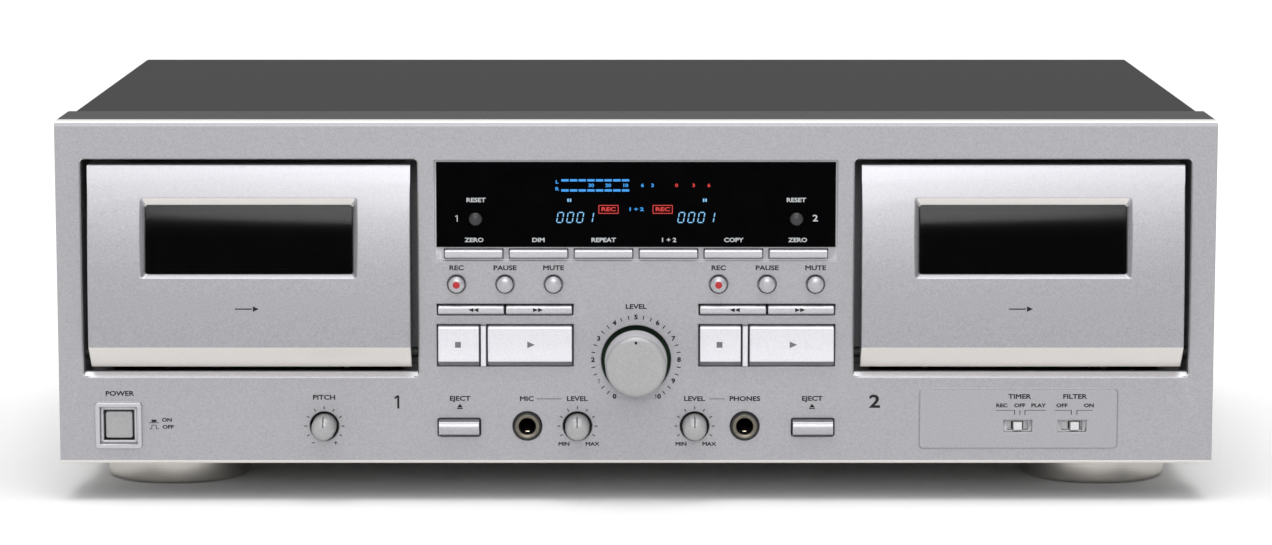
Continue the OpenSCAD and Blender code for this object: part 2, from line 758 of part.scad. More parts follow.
main_z = tray_top + standoff_h;
main_top = main_z + board_t + bond;
chip_back = 43;
chip_step = 10;
chip_inset = 55;
heatsink_t = 5;
capacitors = [[10, 150, 9, 30], [36, 150, 9, 30], [62, 132, 6, 20], [80, 132, 6, 20], [110, 180, 5, 14]];
chip_row = [main_d[1] - chip_back, main_d[1] - chip_back + chip_step];
chips = [[20, chip_row[0], 30, 12], [90, chip_row[1], 24, 10], [main_x[1] - chip_inset, 140, 36, 14],
         [main_x[1] - chip_inset, chip_row[0] - chip_step, 30, 12]];
chip_h = 3.5;
heatsink_x = [-44, -8];
heatsink_d = around(chip_row[0] - chip_step, heatsink_t);
heatsink_h = 36;

module main_board() {
    color("#1f5a2e") block(main_x, main_d, [main_z, main_z + board_t]);
    color("#2b3a66") for (c = capacitors) translate([c[0], c[1], main_top]) cylinder(r = c[2], h = c[3]);
    color("#222224") for (c = chips) translate([c[0], c[1], main_top]) cube([c[2], c[3], chip_h]);
    color("silver") block(heatsink_x, heatsink_d, [main_top, main_top + heatsink_h]);
}

core_w = 60;
core_t = 28;
core_h = 50;
limb_w = 20;
core_window = [10, 30];
coil_out = 9;

module transformer() {
    color("#5a5a60") difference() {
        block(around(core_x, core_w), around(core_d, core_t), [tray_top, tray_top + core_h]);
        for (s = [-1, 1]) block(around(core_x + s * (limb_w + core_window[0]) / 2, core_window[0]),
            around(core_d, core_t + 2 * cut), around(tray_top + core_h / 2, core_window[1]));
    }
    color("#c89a3c") translate([core_x, core_d, tray_top + core_h / 2]) difference() {
        cube([limb_w + 2 * coil_out, core_t + 2 * coil_out, core_window[1] - 2 * pass_clear], center = true);
        cube([limb_w + 2 * pass_clear, core_t + 2 * pass_clear, core_window[1]], center = true);
    }
}

socket_block = 11;
socket_margin = 8;
socket_bore_r = 1.7;
inlet_flange = 3;
inlet_flange_t = 1.5;
inlet_flange_r = 1.5;
inlet_depth = 11;
inlet_back = 4;
inlet_pin_x = 4.3;
inlet_pin_r = 1.2;

module rear_sockets() color("#1c1c1e") {
    difference() {
        union() {
            block(around(socket_x, socket_dx + 2 * socket_margin), [rear_in - socket_block, rear_in],
                  around(socket_z, socket_dz + 2 * socket_margin));
            at_sockets() {
                rod(0, 0, socket_collar_r, rear_in - cut, body_depth);
                rod(0, 0, socket_r, rear_in, body_depth + socket_reach);
            }
        }
        at_sockets() rod(0, 0, socket_bore_r, rear_in, body_depth + socket_reach + cut);
    }
    difference() {
        union() {
            pane(inlet_x, inlet_z, inlet_body_w + 2 * inlet_flange, inlet_body_h + 2 * inlet_flange,
                 inlet_flange_r, body_depth, body_depth + inlet_flange_t);
            block(around(inlet_x, inlet_body_w), [body_depth - inlet_depth - inlet_back,
                  body_depth + inlet_flange_t / 2], around(inlet_z, inlet_body_h));
        }
        pane(inlet_x, inlet_z, inlet_w, inlet_h, inlet_h / 2 - 0.1, body_depth - inlet_depth,
             body_depth + inlet_flange_t + cut);
    }
    for (s = [-1, 1]) rod(inlet_x + s * inlet_pin_x, inlet_z, inlet_pin_r,
        body_depth - inlet_depth - cut, body_depth - cut);
}

module transport_frames() color("#2c2c30") for (k = decks) translate([deck_x(k), 0, 0]) difference() {
    union() {
        block([-cheek_out, cheek_out], [plate_d, plate_back], [frame_z0, frame_z1]);
        for (s = [0, 1]) mirror([s, 0, 0]) {
            block([cheek_x, cheek_out], [behind_panel, plate_back], [frame_z0, frame_z1]);
            block([cheek_out - leg_w, cheek_out], [plate_d - leg_t, plate_back], [tray_top, frame_z0 + cut]);
            block([bridge_w / 2 + pass_clear, bridge_w / 2 + pass_clear + rail_t],
                  [bridge_plate_d - pass_clear, plate_back], [frame_z0, frame_z0 + rail_h]);
            rod(hub_spacing / 2, hub_z, hub_boss_r, hub_boss, plate_back);
        }
        rod(capstan_x, capstan_z, capstan_boss_r, plate_d - leg_t, flywheel_d - flywheel_boss - pass_clear);
        for (p = [[-motor_post_x, 0], [0, motor_post_x], [0, -motor_post_x]])
            rod(motor_x + p[0], motor_z + p[1], motor_post_r, plate_d, motor_d);
    }
    for (s = [-1, 1]) {
        rod(s * hub_spacing / 2, hub_z, hub_shaft_r + run_clear, hub_boss - cut, plate_back + cut);
        translate([s * (cheek_x + cheek_t / 2), hinge_d, hinge_z]) rotate([0, 90, 0])
            cylinder(r = hinge_pin_r + run_clear, h = cheek_t + cut, center = true);
    }
    rod(capstan_x, capstan_z, capstan_r + run_clear, plate_d - leg_t - cut, flywheel_d);
}

pulley_gap = 0.5;
belt_d = flywheel_d + 1.5;

module belt_outline(extra) hull() {
    translate([motor_x, motor_z]) circle(pulley_r + pass_clear + extra);
    translate([capstan_x, capstan_z]) circle(flywheel_r + pass_clear + extra);
}

module drive_motors() for (k = decks) translate([deck_x(k), 0, 0]) {
    color("silver") {
        rod(motor_x, motor_z, motor_r, motor_d, motor_d + motor_l);
        rod(motor_x, motor_z, pulley_r, flywheel_d + pulley_gap, motor_d - bond);
    }
    color("#1a1a1a") along_y(belt_d, belt_d + belt_w) difference() {
        belt_outline(belt_t);
        belt_outline(0);
    }
}

// Section of a door, depth by height, drawn in by an even wall
function lip_at_z(s, z) = let (p = lip_foot + s * lip_in) p[0] + (z - p[1]) * lip_run[0] / lip_run[1];
function lip_at_d(s, d) = let (p = lip_foot + s * lip_in) p[1] + (d - p[0]) * lip_run[1] / lip_run[0];
far_d = -30;

module door_section(s, back) intersection() {
    translate(face_centre) circle(door_face_r - s, $fn = big_fn);
    polygon([[far_d, lip_at_d(s, far_d)], [far_d, door_z1 - s], [back, door_z1 - s],
             [back, door_z0 + s], [lip_at_z(s, door_z0 + s), door_z0 + s]]);
}

// The window's own frame: y is depth behind the tilted face
module at_window(k) translate([deck_x(k), face_d, recess_z]) rotate([-face_tilt, 0, 0]) children();

module taper(w0, h0, w1, h1, drop, y0, y1) polyhedron(
    points = [for (e = [[w0, h0, 0, y0], [w1, h1, -drop, y1]], c = [[-1, -1], [1, -1], [1, 1], [-1, 1]])
              [c[0] * e[0] / 2, e[3], e[2] + c[1] * e[1] / 2]],
    faces = [[3, 2, 1, 0], [4, 5, 6, 7], [0, 1, 5, 4], [1, 2, 6, 5], [2, 3, 7, 6], [3, 0, 4, 7]]);

module door(k) color("#c9c9cb") difference() {
    along_x(deck_x(k) - door_w / 2, deck_x(k) + door_w / 2) door_section(0, door_back);
    difference() {
        along_x(deck_x(k) - door_w / 2 + door_wall, deck_x(k) + door_w / 2 - door_wall)
            door_section(door_wall, door_back + cut);
        at_window(k) block(around(0, recess_w + 2 * window_frame), [-door_wall - cut, window_seat + cut],
                           around(0, recess_h + 2 * window_frame));
    }
    at_window(k) {
        taper(2 * recess_w - window_w, 2 * recess_h - window_h, window_w, window_h, window_drop,
              -recess_depth, recess_depth);
        translate([0, 0, -window_drop]) {
            block(around(0, window_w), [recess_depth - bond, window_seat], around(0, window_h));
            block(around(0, window_w - 2 * window_ledge), [0, 2 * window_seat],
                  around(0, window_h - 2 * window_ledge));
        }
    }
}

window_edge = 0.1;

module door_window(k) color("#1b1a1c") at_window(k) translate([0, 0, -window_drop])
    block(around(0, window_w - 2 * window_edge), [recess_depth, window_seat],
          around(0, window_h - 2 * window_edge));

pin_over = 1;

module cassette_holder(k) color("#1e1e20") translate([deck_x(k), 0, 0]) {
    difference() {
        block(around(0, door_w - 2 * holder_edge), [door_back, pocket_d],
              [door_z0 + holder_edge, door_z1 - holder_edge]);
        block(around(0, window_w), [door_back - cut, pocket_d + cut],
              around(recess_z - window_drop, window_h));
    }
    for (s = [0, 1]) mirror([s, 0, 0]) translate([pocket_w / 2, 0, 0]) {
        block([0, holder_side_t], [door_back + holder_wall / 2, pocket_back + holder_lip_t],
              [door_z0 + holder_edge, holder_top]);
        block([-holder_lip, holder_side_t], [pocket_back, pocket_back + holder_lip_t],
              [pocket_z, holder_top]);
        block([-holder_stop_w, holder_side_t / 2],
              [pocket_d - holder_wall / 2, pocket_back + holder_lip_t / 2],
              [pocket_z - holder_stop_h, pocket_z]);
        translate([holder_side_t / 2, hinge_d, hinge_z]) rotate([0, 90, 0])
            cylinder(r = hinge_pin_r, h = cheek_out + pin_over - (pocket_w + holder_side_t) / 2);
    }
}

spline_count = 3;

module hub(x) color("#d8d8d8") {
    rod(x, hub_z, spindle_r - spline_h, spindle_d, hub_boss - hub_gap);
    for (i = [0:spline_count - 1]) translate([x, 0, hub_z]) rotate([0, i * 360 / spline_count, 0])
        block(around(0, spline_w), [spindle_d + cut, hub_boss - hub_gap - hub_disc_t / 2], [0, spindle_r]);
    rod(x, hub_z, hub_disc_r, hub_boss - hub_gap - hub_disc_t, hub_boss - hub_gap);
    rod(x, hub_z, hub_shaft_r, hub_boss - cut, plate_back + hub_gap + hub_collar[1] + hub_gap);
    rod(x, hub_z, hub_shaft_r + hub_collar[0], plate_back + hub_gap, plate_back + hub_gap + hub_collar[1]);
}
module supply_hub(k) hub(deck_x(k) - hub_spacing / 2);
module takeup_hub(k) hub(deck_x(k) + hub_spacing / 2);

module flywheel(k) color("#b9b9bd") translate([deck_x(k), 0, 0]) {
    rod(capstan_x, capstan_z, capstan_r, spindle_d, flywheel_d);
    rod(capstan_x, capstan_z, capstan_boss_r, flywheel_d - flywheel_boss, flywheel_d + cut);
    rod(capstan_x, capstan_z, flywheel_r, flywheel_d, flywheel_d + flywheel_t);
}

shelf_t = 2;
shelf_top = bridge_z + shelf_t;
bridge_h = 9;
pinch_pin_r = 1;
ear_top = 3;
play_head = [14, 11, 7];
play_head_d = 11;
erase_head = [6, 8, 6];
erase_head_x = -16;
erase_head_d = 12;

module head_bridge(k) translate([deck_x(k), 0, 0]) {
    color("#9a9aa0") {
        block(around(0, bridge_w), [bridge_plate_d, bridge_plate_d + bridge_t],
              [shelf_top - bridge_h / 3, shelf_top - bridge_h / 3 + bridge_h]);
        block(around(0, bridge_w), [shelf_d, bridge_plate_d + bridge_t / 2], [bridge_z, shelf_top]);
        for (s = [-1, 1]) rod(s * bridge_boss_x, bridge_z + bridge_boss_r, bridge_boss_r,
            bridge_plate_d + bridge_t / 2, plate_d - pass_clear);
        for (d = [shelf_d, pinch_d[1] + pass_clear]) block(around(capstan_x, ear_w), [d, d + ear_t],
            [shelf_top - shelf_t / 2, pinch_z + ear_top]);
        rod(capstan_x, pinch_z, pinch_pin_r, shelf_d, pinch_d[1] + pass_clear + ear_t);
    }
    color("#c0c0c4") translate([0, 0, shelf_top + bond]) {
        translate([-play_head[0] / 2, play_head_d, 0]) cube(play_head);
        translate([erase_head_x - erase_head[0] / 2, erase_head_d, 0]) cube(erase_head);
    }
    color("#1a1a1a") difference() {
        rod(capstan_x, pinch_z, pinch_r, pinch_d[0], pinch_d[1]);
        rod(capstan_x, pinch_z, pinch_pin_r + run_clear, pinch_d[0] - cut, pinch_d[1] + cut);
    }
}

// A key that slides straight in: its cap, the flange that keeps it behind the panel, and its stem
key_edge = 0.4;
button_edge = 0.5;

module push_key(x, z, w, h, reach, bevel, travel, over = flange_over) {
    along_x(x - w / 2, x + w / 2) polygon([[-reach, z + h / 2 - key_edge], [key_edge - reach, z + h / 2],
        [slider_d, z + h / 2], [slider_d, z - h / 2], [bevel - reach, z - h / 2],
        [-reach, z - h / 2 + bevel]]);
    block(around(x, w), [behind_panel, slider_d], around(z, h + 2 * over));
    rod(x, z, stem_r, behind_panel, tact_top - travel - fit);
}

module push_button(x, z, r, reach, travel) {
    turned(x, z) polygon([[0, -slider_d], [r, -slider_d], [r, reach - button_edge],
        [r - button_edge, reach], [0, reach]]);
    rod(x, z, r + key_clear + flange_over, behind_panel, slider_d);
    rod(x, z, stem_r, behind_panel, tact_top - travel - fit);
}

round_reach = 3;
play_reach = 2.6;
play_bevel = 1.8;
seek_reach = 2.2;
seek_bevel = 0.8;
function_reach = 1.2;
function_bevel = 0.6;
function_over = 0.55;
eject_reach = 3.2;
eject_bevel = 0.8;

module round_button(k, i) color("#c4c4c6")
    push_button(round_x(k, i), round_z, round_r, round_reach, key_travel);
module record_button(k) round_button(k, 0);
module pause_button(k) round_button(k, 1);
module mute_button(k) round_button(k, 2);
module seek_key(k, i) color("#d0d0d2") push_key(seek_x(k, i), seek_z + seek_h / 2, seek_w,
    seek_h - 2 * key_clear, seek_reach, seek_bevel, key_travel);
module rewind_key(k) seek_key(k, 0);
module forward_key(k) seek_key(k, 1);
module wide_key(x, w) color("#d0d0d2") push_key(x, play_z + play_h / 2, w - 2 * key_clear,
    play_h - 2 * key_clear, play_reach, play_bevel, key_travel);
module stop_key(k) wide_key(stop_x(k), stop_w);
module play_key(k) wide_key(play_x(k), play_w);
module eject_button(k) color("#c4c4c6") push_key(side(k) * eject_x, eject_z, eject_w, eject_h,
    eject_reach, eject_bevel, eject_travel);
module function_button(i) color("#c4c4c6") push_key(function_x(i), function_z, function_w, function_h,
    function_reach, function_bevel, key_travel, function_over);

reset_reach = 0.5;
lens_back = panel_t + lens_flange_t;

reset_flange_d = lens_back + fit;

module counter_reset_button(k) color("#2a2a2c") {
    rod(side(k) * reset_x, reset_z, reset_r, -reset_reach, reset_flange_d + flange_t);
    rod(side(k) * reset_x, reset_z, reset_r + flange_over, reset_flange_d, reset_flange_d + flange_t);
    rod(side(k) * reset_x, reset_z, stem_r, reset_flange_d, tact_top - key_travel - fit);
}

power_r = 1;

module power_button() color("#c4c4c6")
    pane(power_x, power_z, power_w, power_w, power_r, power_face, power_back);

level_flare = 0.4;
level_edge = 0.8;
knob_back = 2;
dot_r = 0.5;
dot_up = 9;
dot_depth = 0.4;

module rec_level_knob() color("#c4c4c6") difference() {
    turned(0, level_z) polygon([[0, -shaft_end], [level_shaft_r, -shaft_end], [level_shaft_r, -knob_back],
        [level_r + level_flare, -knob_back], [level_r, knob_reach - level_edge],
        [level_r - level_edge, knob_reach], [0, knob_reach]]);
    rod(0, level_z + dot_up, dot_r, -knob_reach - cut, -knob_reach + dot_depth);
}

pointer_w = 0.8;
pointer_depth = 0.8;
small_flare = 0.15;
small_edge = 0.6;
dome = 0.4;

module small_knob(x) color("#c4c4c6") difference() {
    turned(x, row_z) polygon([[0, -shaft_end], [small_shaft_r, -shaft_end], [small_shaft_r, -knob_back],
        [small_r + small_flare, -knob_back], [small_r, small_reach - dome - 1.5 * small_edge],
        [small_r - small_edge, small_reach - dome], [0, small_reach]]);
    block(around(x, pointer_w), [-small_reach - cut, -small_reach + pointer_depth],
          [row_z + pointer_w, row_z + small_r + cut]);
}
module pitch_knob() small_knob(pitch_x);
module mic_level_knob() small_knob(-small_x);
module phones_level_knob() small_knob(small_x);

slider_h = slot_through_h - 2 * fit;
slider_proud = 0.2;
slider_over = 1;
slider_base_h = 6;

module switch_knob(x) color("#3a3a3c") {
    block(around(x, slider_w), [-slider_proud, slider_d], around(row_z, slider_h));
    block(around(x, slider_w + 2 * slider_over), [behind_panel, slider_d], around(row_z, slider_base_h));
}
module timer_switch_knob() switch_knob(timer_x);
module noise_switch_knob() switch_knob(noise_x + slider_step / 2);

unit() front_panel();
unit() front_frame();
unit() top_cover();
unit() chassis_tray();
unit() rear_panel();
unit() display_lens();
unit() feet();
unit() screws();
unit() phone_jacks();
unit() key_board();
unit() main_board();
unit() transformer();
unit() rear_sockets();
unit() transport_frames();
unit() drive_motors();
unit() power_button();
unit() rec_level_knob();
unit() pitch_knob();
unit() mic_level_knob();
unit() phones_level_knob();
unit() timer_switch_knob();
unit() noise_switch_knob();
for (i = [1:6]) unit() function_button(i);
for (k = decks) {
    unit() door(k);
    unit() door_window(k);
    unit() cassette_holder(k);
    unit() eject_button(k);
    unit() counter_reset_button(k);
    unit() record_button(k);
    unit() pause_button(k);
    unit() mute_button(k);
    unit() rewind_key(k);
    unit() forward_key(k);
    unit() stop_key(k);
    unit() play_key(k);
    unit() supply_hub(k);
    unit() takeup_hub(k);
    unit() flywheel(k);
    unit() head_bridge(k);
}
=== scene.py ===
import math
import bpy
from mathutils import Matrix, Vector


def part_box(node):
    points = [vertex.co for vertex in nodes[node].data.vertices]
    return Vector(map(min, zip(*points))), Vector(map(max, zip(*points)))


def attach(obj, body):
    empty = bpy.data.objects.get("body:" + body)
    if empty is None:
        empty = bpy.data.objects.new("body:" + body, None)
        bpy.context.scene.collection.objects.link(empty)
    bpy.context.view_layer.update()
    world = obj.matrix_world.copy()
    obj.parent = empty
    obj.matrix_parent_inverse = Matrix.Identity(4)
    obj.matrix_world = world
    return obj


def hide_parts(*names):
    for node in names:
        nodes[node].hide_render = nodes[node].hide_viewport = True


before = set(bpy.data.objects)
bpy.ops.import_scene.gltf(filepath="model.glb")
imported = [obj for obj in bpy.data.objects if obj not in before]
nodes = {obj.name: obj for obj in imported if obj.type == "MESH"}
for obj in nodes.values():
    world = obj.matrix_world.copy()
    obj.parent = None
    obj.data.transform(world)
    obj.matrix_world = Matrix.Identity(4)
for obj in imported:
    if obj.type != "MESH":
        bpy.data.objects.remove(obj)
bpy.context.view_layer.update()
mm = 0.001
faceY = -126.2  # the silver panel's front plane, in mm
decks = (1, 2)
deckX = {1: -145.0, 2: 145.0}  # the middle of each door
mergeGap = 0.002  # points closer than this are one, in mm
print("frame loaded:", len(nodes), "nodes")


def place(x, d, z):
    return Vector((x, faceY + d, z)) * mm  # d is depth behind the panel's front


def whereIs(spot):
    return spot.x / mm, spot.y / mm - faceY, spot.z / mm  # the way back from place


def within(value, span):
    return span[0] < value < span[1]


def pieceName(node):
    first, *rest = node.split("_")
    return first + "".join(word.capitalize() for word in rest)


def toLinear(hexColour):
    # the sRGB curve
    parts = [int(hexColour[i:i + 2], 16) / 255 for i in (1, 3, 5)]
    return tuple(c / 12.92 if c <= 0.04045 else ((c + 0.055) / 1.055) ** 2.4 for c in parts) + (1.0,)


def addNode(tree, kind, inputs=(), **props):
    n = tree.nodes.new("ShaderNode" + kind)
    for key, value in props.items():
        setattr(n, key, value)
    for key, value in dict(inputs).items():
        if isinstance(value, bpy.types.NodeSocket):
            tree.links.new(value, n.inputs[key])
        else:
            n.inputs[key].default_value = value
    return n


def newFinish(name, **sockets):
    finish = bpy.data.materials.new(name)
    finish.use_nodes = True
    shader = finish.node_tree.nodes["Principled BSDF"]
    for key, value in sockets.items():
        shader.inputs[key.replace("_", " ")].default_value = value
    return finish, finish.node_tree, shader


mottling = {"low": 0.3, "high": 0.7, "detail": 3.0, "roughness": 0.6}  # low and high are the noise's two ends


def mottle(name, dark, light, grainMm, bump=0.0, bumpMm=0.0, roughness=None, stretch=(1, 1, 1), **sockets):
    # one fine grain sets the colour, the bump and, where that has a span, the roughness
    finish, tree, shader = newFinish(name, **sockets)
    where = addNode(tree, "TexCoord")
    turn = addNode(tree, "Mapping", {"Vector": where.outputs["Object"], "Scale": stretch})
    grain = addNode(tree, "TexNoise", {
        "Vector": turn.outputs[0], "Scale": 1000 / grainMm,
        "Detail": mottling["detail"], "Roughness": mottling["roughness"]})
    ramp = addNode(tree, "ValToRGB", {"Fac": grain.outputs[0]})
    stops = ramp.color_ramp.elements
    stops[0].position, stops[0].color = mottling["low"], toLinear(dark)
    stops[1].position, stops[1].color = mottling["high"], toLinear(light)
    tree.links.new(ramp.outputs[0], shader.inputs["Base Color"])
    if bump:
        rise = addNode(tree, "Bump", {
            "Height": grain.outputs[0], "Strength": bump, "Distance": bumpMm * mm})
        tree.links.new(rise.outputs[0], shader.inputs["Normal"])
    if roughness:
        spread = addNode(tree, "MapRange", {
            "Value": grain.outputs[0], "From Min": mottling["low"], "From Max": mottling["high"],
            "To Min": roughness[0], "To Max": roughness[1]})
        tree.links.new(spread.outputs[0], shader.inputs["Roughness"])
    return finish


# ABS sprayed with silver lacquer: satin, with flakes of about 0.4 mm, drawn at 0.6 mm so that they show
panelSilver = mottle("silverLacquerPanel", "#99989c", "#abaaae", 0.6, 0.12, 0.02, (0.4, 0.48), Metallic=0.45)
doorSilver = mottle("silverLacquerDoor", "#98979b", "#aaa9ad", 0.6, 0.08, 0.02, (0.31, 0.38), Metallic=0.8)
keySilver = mottle("brightSilverLacquerKeys", "#d4d3d8", "#e0dfe4", 0.7, 0.06, 0.02, (0.31, 0.38),
                   Metallic=0.6)
buttonSilver = mottle("silverLacquerButtons", "#b4b3b7", "#c2c1c5", 0.7, 0.06, 0.02, (0.31, 0.38),
                      Metallic=0.7)
knobSilver = mottle("silverLacquerKnobs", "#99999a", "#a9a9aa", 0.6, 0.08, 0.02, (0.33, 0.41), Metallic=0.3)
capSilver = mottle("silverLacquerCaps", "#a6a5a9", "#b4b3b7", 0.6, 0.06, 0.02, (0.31, 0.38), Metallic=0.5)
# a darker copy of the key lacquer for the keys' lower slopes: painted shade
paintedShadeSlopeSilver = mottle("silverLacquerKeySlopePaintedShade", "#7d7c80", "#8d8c90", 0.7, 0.06, 0.02, (0.31, 0.38),
                     Metallic=0.8)
# a lighter, less metallic copy of the lacquer: painted light, for faces that look lit from above
paintedLightSilver = mottle("silverLacquerPaintedLight", "#b8b7bb", "#c6c5c9", 0.6, 0.08, 0.02, (0.36, 0.44),
                     Metallic=0.1)
# the same lacquer on slopes that face the table and on rounded rims, smoother, with painted highlights and a
# painted reflection of the bright floor: lighter and warm
paintedReflectionSilver = mottle("silverLacquerPaintedReflection", "#dbd7d3", "#e1ddd9", 0.8, 0.04, 0.02, (0.34, 0.42), Metallic=0.2)
# moulded ABS: fine spark-eroded texture, soft gloss
charcoalAbs = mottle("charcoalAbs", "#29292c", "#343437", 0.8, 0.1, 0.03, (0.45, 0.55),
                     Specular_IOR_Level=0.3)
greyAbs = mottle("midGreyAbs", "#9a9a9d", "#aaaaad", 0.8, 0.1, 0.03, (0.45, 0.55))
blackAbs = mottle("blackAbs", "#0f0f10", "#19191b", 0.8, 0.1, 0.03, (0.45, 0.6))
switchAbs = mottle("greySwitchAbs", "#c2c2c3", "#d0d0d1", 0.6, 0.1, 0.02, (0.45, 0.6))
shutterAbs = mottle("paleSwitchShutterAbs", "#d0d0d0", "#dcdcdc", 0.6, 0.1, 0.02, (0.45, 0.6))
resetAbs = mottle("darkGreyButtonAbs", "#222225", "#2d2d30", 0.6, 0.1, 0.02, (0.36, 0.46))
# acetal: slightly waxy white
hubAcetal = mottle("whiteAcetal", "#d2d1cc", "#deddd8", 1.5, 0.05, 0.03, (0.34, 0.42))
# sheet steel in fine textured paint: dull, with a tight orange peel of about 0.7 mm
coverSteel = mottle("texturedSteelPaint", "#2b292a", "#363435", 0.7, 0.25, 0.05, (0.55, 0.66),
                    Specular_IOR_Level=0.12)
# zinc plated steel: rolled streaks across the sheet
zincSteel = mottle("zincPlatedSteel", "#9a9a98", "#b4b3b0", 2.0, 0.08, 0.02, (0.3, 0.42), (1, 0.2, 1),
                   Metallic=1.0)
blackZinc = mottle("blackZincSteel", "#2a2a2c", "#3a3a3c", 0.8, 0.08, 0.02, (0.38, 0.48), Metallic=1.0)
# dull nickel plating and bare spring brass: warm greys, the brass with a sharper shine
nickel = mottle("dullNickel", "#6b665c", "#7d776c", 1.0, 0.06, 0.02, (0.34, 0.44), Metallic=1.0)
springBrass = mottle("paleBrassSpring", "#d9cfb4", "#e8dfc6", 1.0, 0.05, 0.02, (0.22, 0.3), Metallic=1.0)
# plated foot ring: a warm grey with very fine turning lines, which draw reflections out upright
footRing = mottle("warmGreyPlating", "#c6c2bc", "#d4d0ca", 0.12, 0.3, 0.01, (0.17, 0.25), (0.01, 0.01, 1),
                  Metallic=1.0)
# rubber: matt and nearly black
padRubber = mottle("blackRubber", "#0d0d0d", "#181818", 0.9, 0.2, 0.05, (0.75, 0.9))
# moulded nylon: even colour, soft gloss
whiteInsert = mottle("whiteNylon", "#d8d8d4", "#e4e4e0", 1.2, 0.05, 0.03, Roughness=0.45)
redInsert = mottle("redNylon", "#9c1a1c", "#b02224", 1.2, 0.05, 0.03, Roughness=0.45)
# screen printed ink: a thin matt film
darkInk = mottle("blackInk", "#18181a", "#222224", 0.5, Roughness=0.6, Specular_IOR_Level=0.2)
greyInk = mottle("midGreyInk", "#5d5d60", "#6b6b6e", 0.5, Roughness=0.55)
paleInk = mottle("paleGreyInk", "#b2b5b8", "#c4c7ca", 0.5, Roughness=0.6)
# enamel: a glossy drop of paint
redPaint = mottle("redEnamel", "#a01018", "#b21a22", 0.5, Roughness=0.35)
# polished black acrylic: a dark mirror with a treated, low-glare face
displayAcrylic = mottle("blackDisplayAcrylic", "#010102", "#030304", 8.0,
                        Roughness=0.12, Specular_IOR_Level=0.015)
# smoked acrylic: lets a little light through and mirrors what is above it
smokedAcrylic = mottle("smokedAcrylic", "#010101", "#030303", 8.0,
                       Roughness=0.1, IOR=1.49, Specular_IOR_Level=0.1, Alpha=0.95)
# lit display segments, with their colours when out and when lit
glows = (("blue", "#0a1420", "#2f9df2"), ("pale", "#0a1420", "#86ccfb"), ("red", "#1a0606", "#d8322c"))
blueGlow, whiteGlow, redGlow = [
    newFinish(f"{colour}FluorescentSegment", Base_Color=toLinear(out), Roughness=0.5,
              Emission_Color=toLinear(glow), Emission_Strength=1.0)[0] for colour, out, glow in glows]


def layered(name, layers, rest, axis, grainMm=2.5):
    # one casting of several stuffs, told apart by where they lie along an axis, in mm
    first, second, mixed = 6, 7, 2  # the colour sockets of a Mix node
    finish, tree, shader = newFinish(name, Roughness=0.45)
    where = addNode(tree, "TexCoord")
    split = addNode(tree, "SeparateXYZ", {"Vector": where.outputs["Object"]})
    grain = addNode(tree, "TexNoise", {"Vector": where.outputs["Object"], "Scale": 1000 / grainMm})

    def blend(share, one, two):
        inputs = {"Factor": share.outputs[0], first: one, second: two}
        return addNode(tree, "Mix", inputs, data_type="RGBA").outputs[mixed]

    colour = blend(grain, toLinear(rest[0]), toLinear(rest[1]))
    for low, high, dark, light in layers:
        inside = addNode(tree, "Math", {
            0: split.outputs[axis], 1: (low + high) / 2 * mm, 2: (high - low) / 2 * mm}, operation="COMPARE")
        colour = blend(inside, colour, blend(grain, toLinear(dark), toLinear(light)))
    tree.links.new(colour, shader.inputs["Base Color"])
    return finish


# glass epoxy boards in green solder mask, with black moulded parts on them
solderMask = ("#1c4a2a", "#24583a")
keyBoardFinish = layered("greenBoardAndSwitches", [(-110.3, -108.5, *solderMask)],
                         ("#161618", "#222224"), "Y")
mainBoardFinish = layered("greenBoardAndParts", [(23.0, 26.0, *solderMask)], ("#20222c", "#2c3040"), "Z")
# a coil of varnished copper wire in a stack of dark core plates
coreFinish = layered("varnishedCoreAndCoil", [(28.6, 58.3, "#7a4a22", "#935c2c")],
                     ("#34343a", "#44444a"), "Z")
print("finishes made")


def deselect():
    bpy.ops.object.select_all(action="DESELECT")


def pick(piece):
    deselect()
    piece.select_set(True)
    bpy.context.view_layer.objects.active = piece


def settle():
    # the picked object's place, turn and scale go into its mesh
    bpy.ops.object.transform_apply(location=True, rotation=True, scale=True)


def useEdit(kind):
    bpy.ops.object.mode_set(mode="EDIT")
    bpy.ops.mesh.select_mode(type=kind)


def selectAll():
    bpy.ops.mesh.select_all(action="SELECT")


def leaveEdit():
    bpy.ops.object.mode_set(mode="OBJECT")


def applyModifier(piece, kind, **settings):
    pick(piece)
    step = piece.modifiers.new(kind.lower(), kind)
    for key, value in settings.items():
        setattr(step, key, value)
    bpy.ops.object.modifier_apply(modifier=step.name)


# edges that turn by more than this stay sharp or are rounded, in degrees
sharpAngle = {"solid": 38, "bentFace": 30, "turned": 32, "cube": 30, "block": 35}


def smoothEdges(piece, degrees):
    pick(piece)
    bpy.ops.object.shade_smooth_by_angle(angle=math.radians(degrees))
    applyModifier(piece, "WEIGHTED_NORMAL", weight=100, keep_sharp=True)


def coat(piece, finish):
    piece.data.materials.clear()
    piece.data.materials.append(finish)
    return piece


def dress(piece, finish, body, slot, *stands):
    # finish is None where the piece has its coats already; stands are the CAD nodes that it stands for
    if finish:
        coat(piece, finish)
    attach(piece, body)
    if stands:
        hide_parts(*stands)


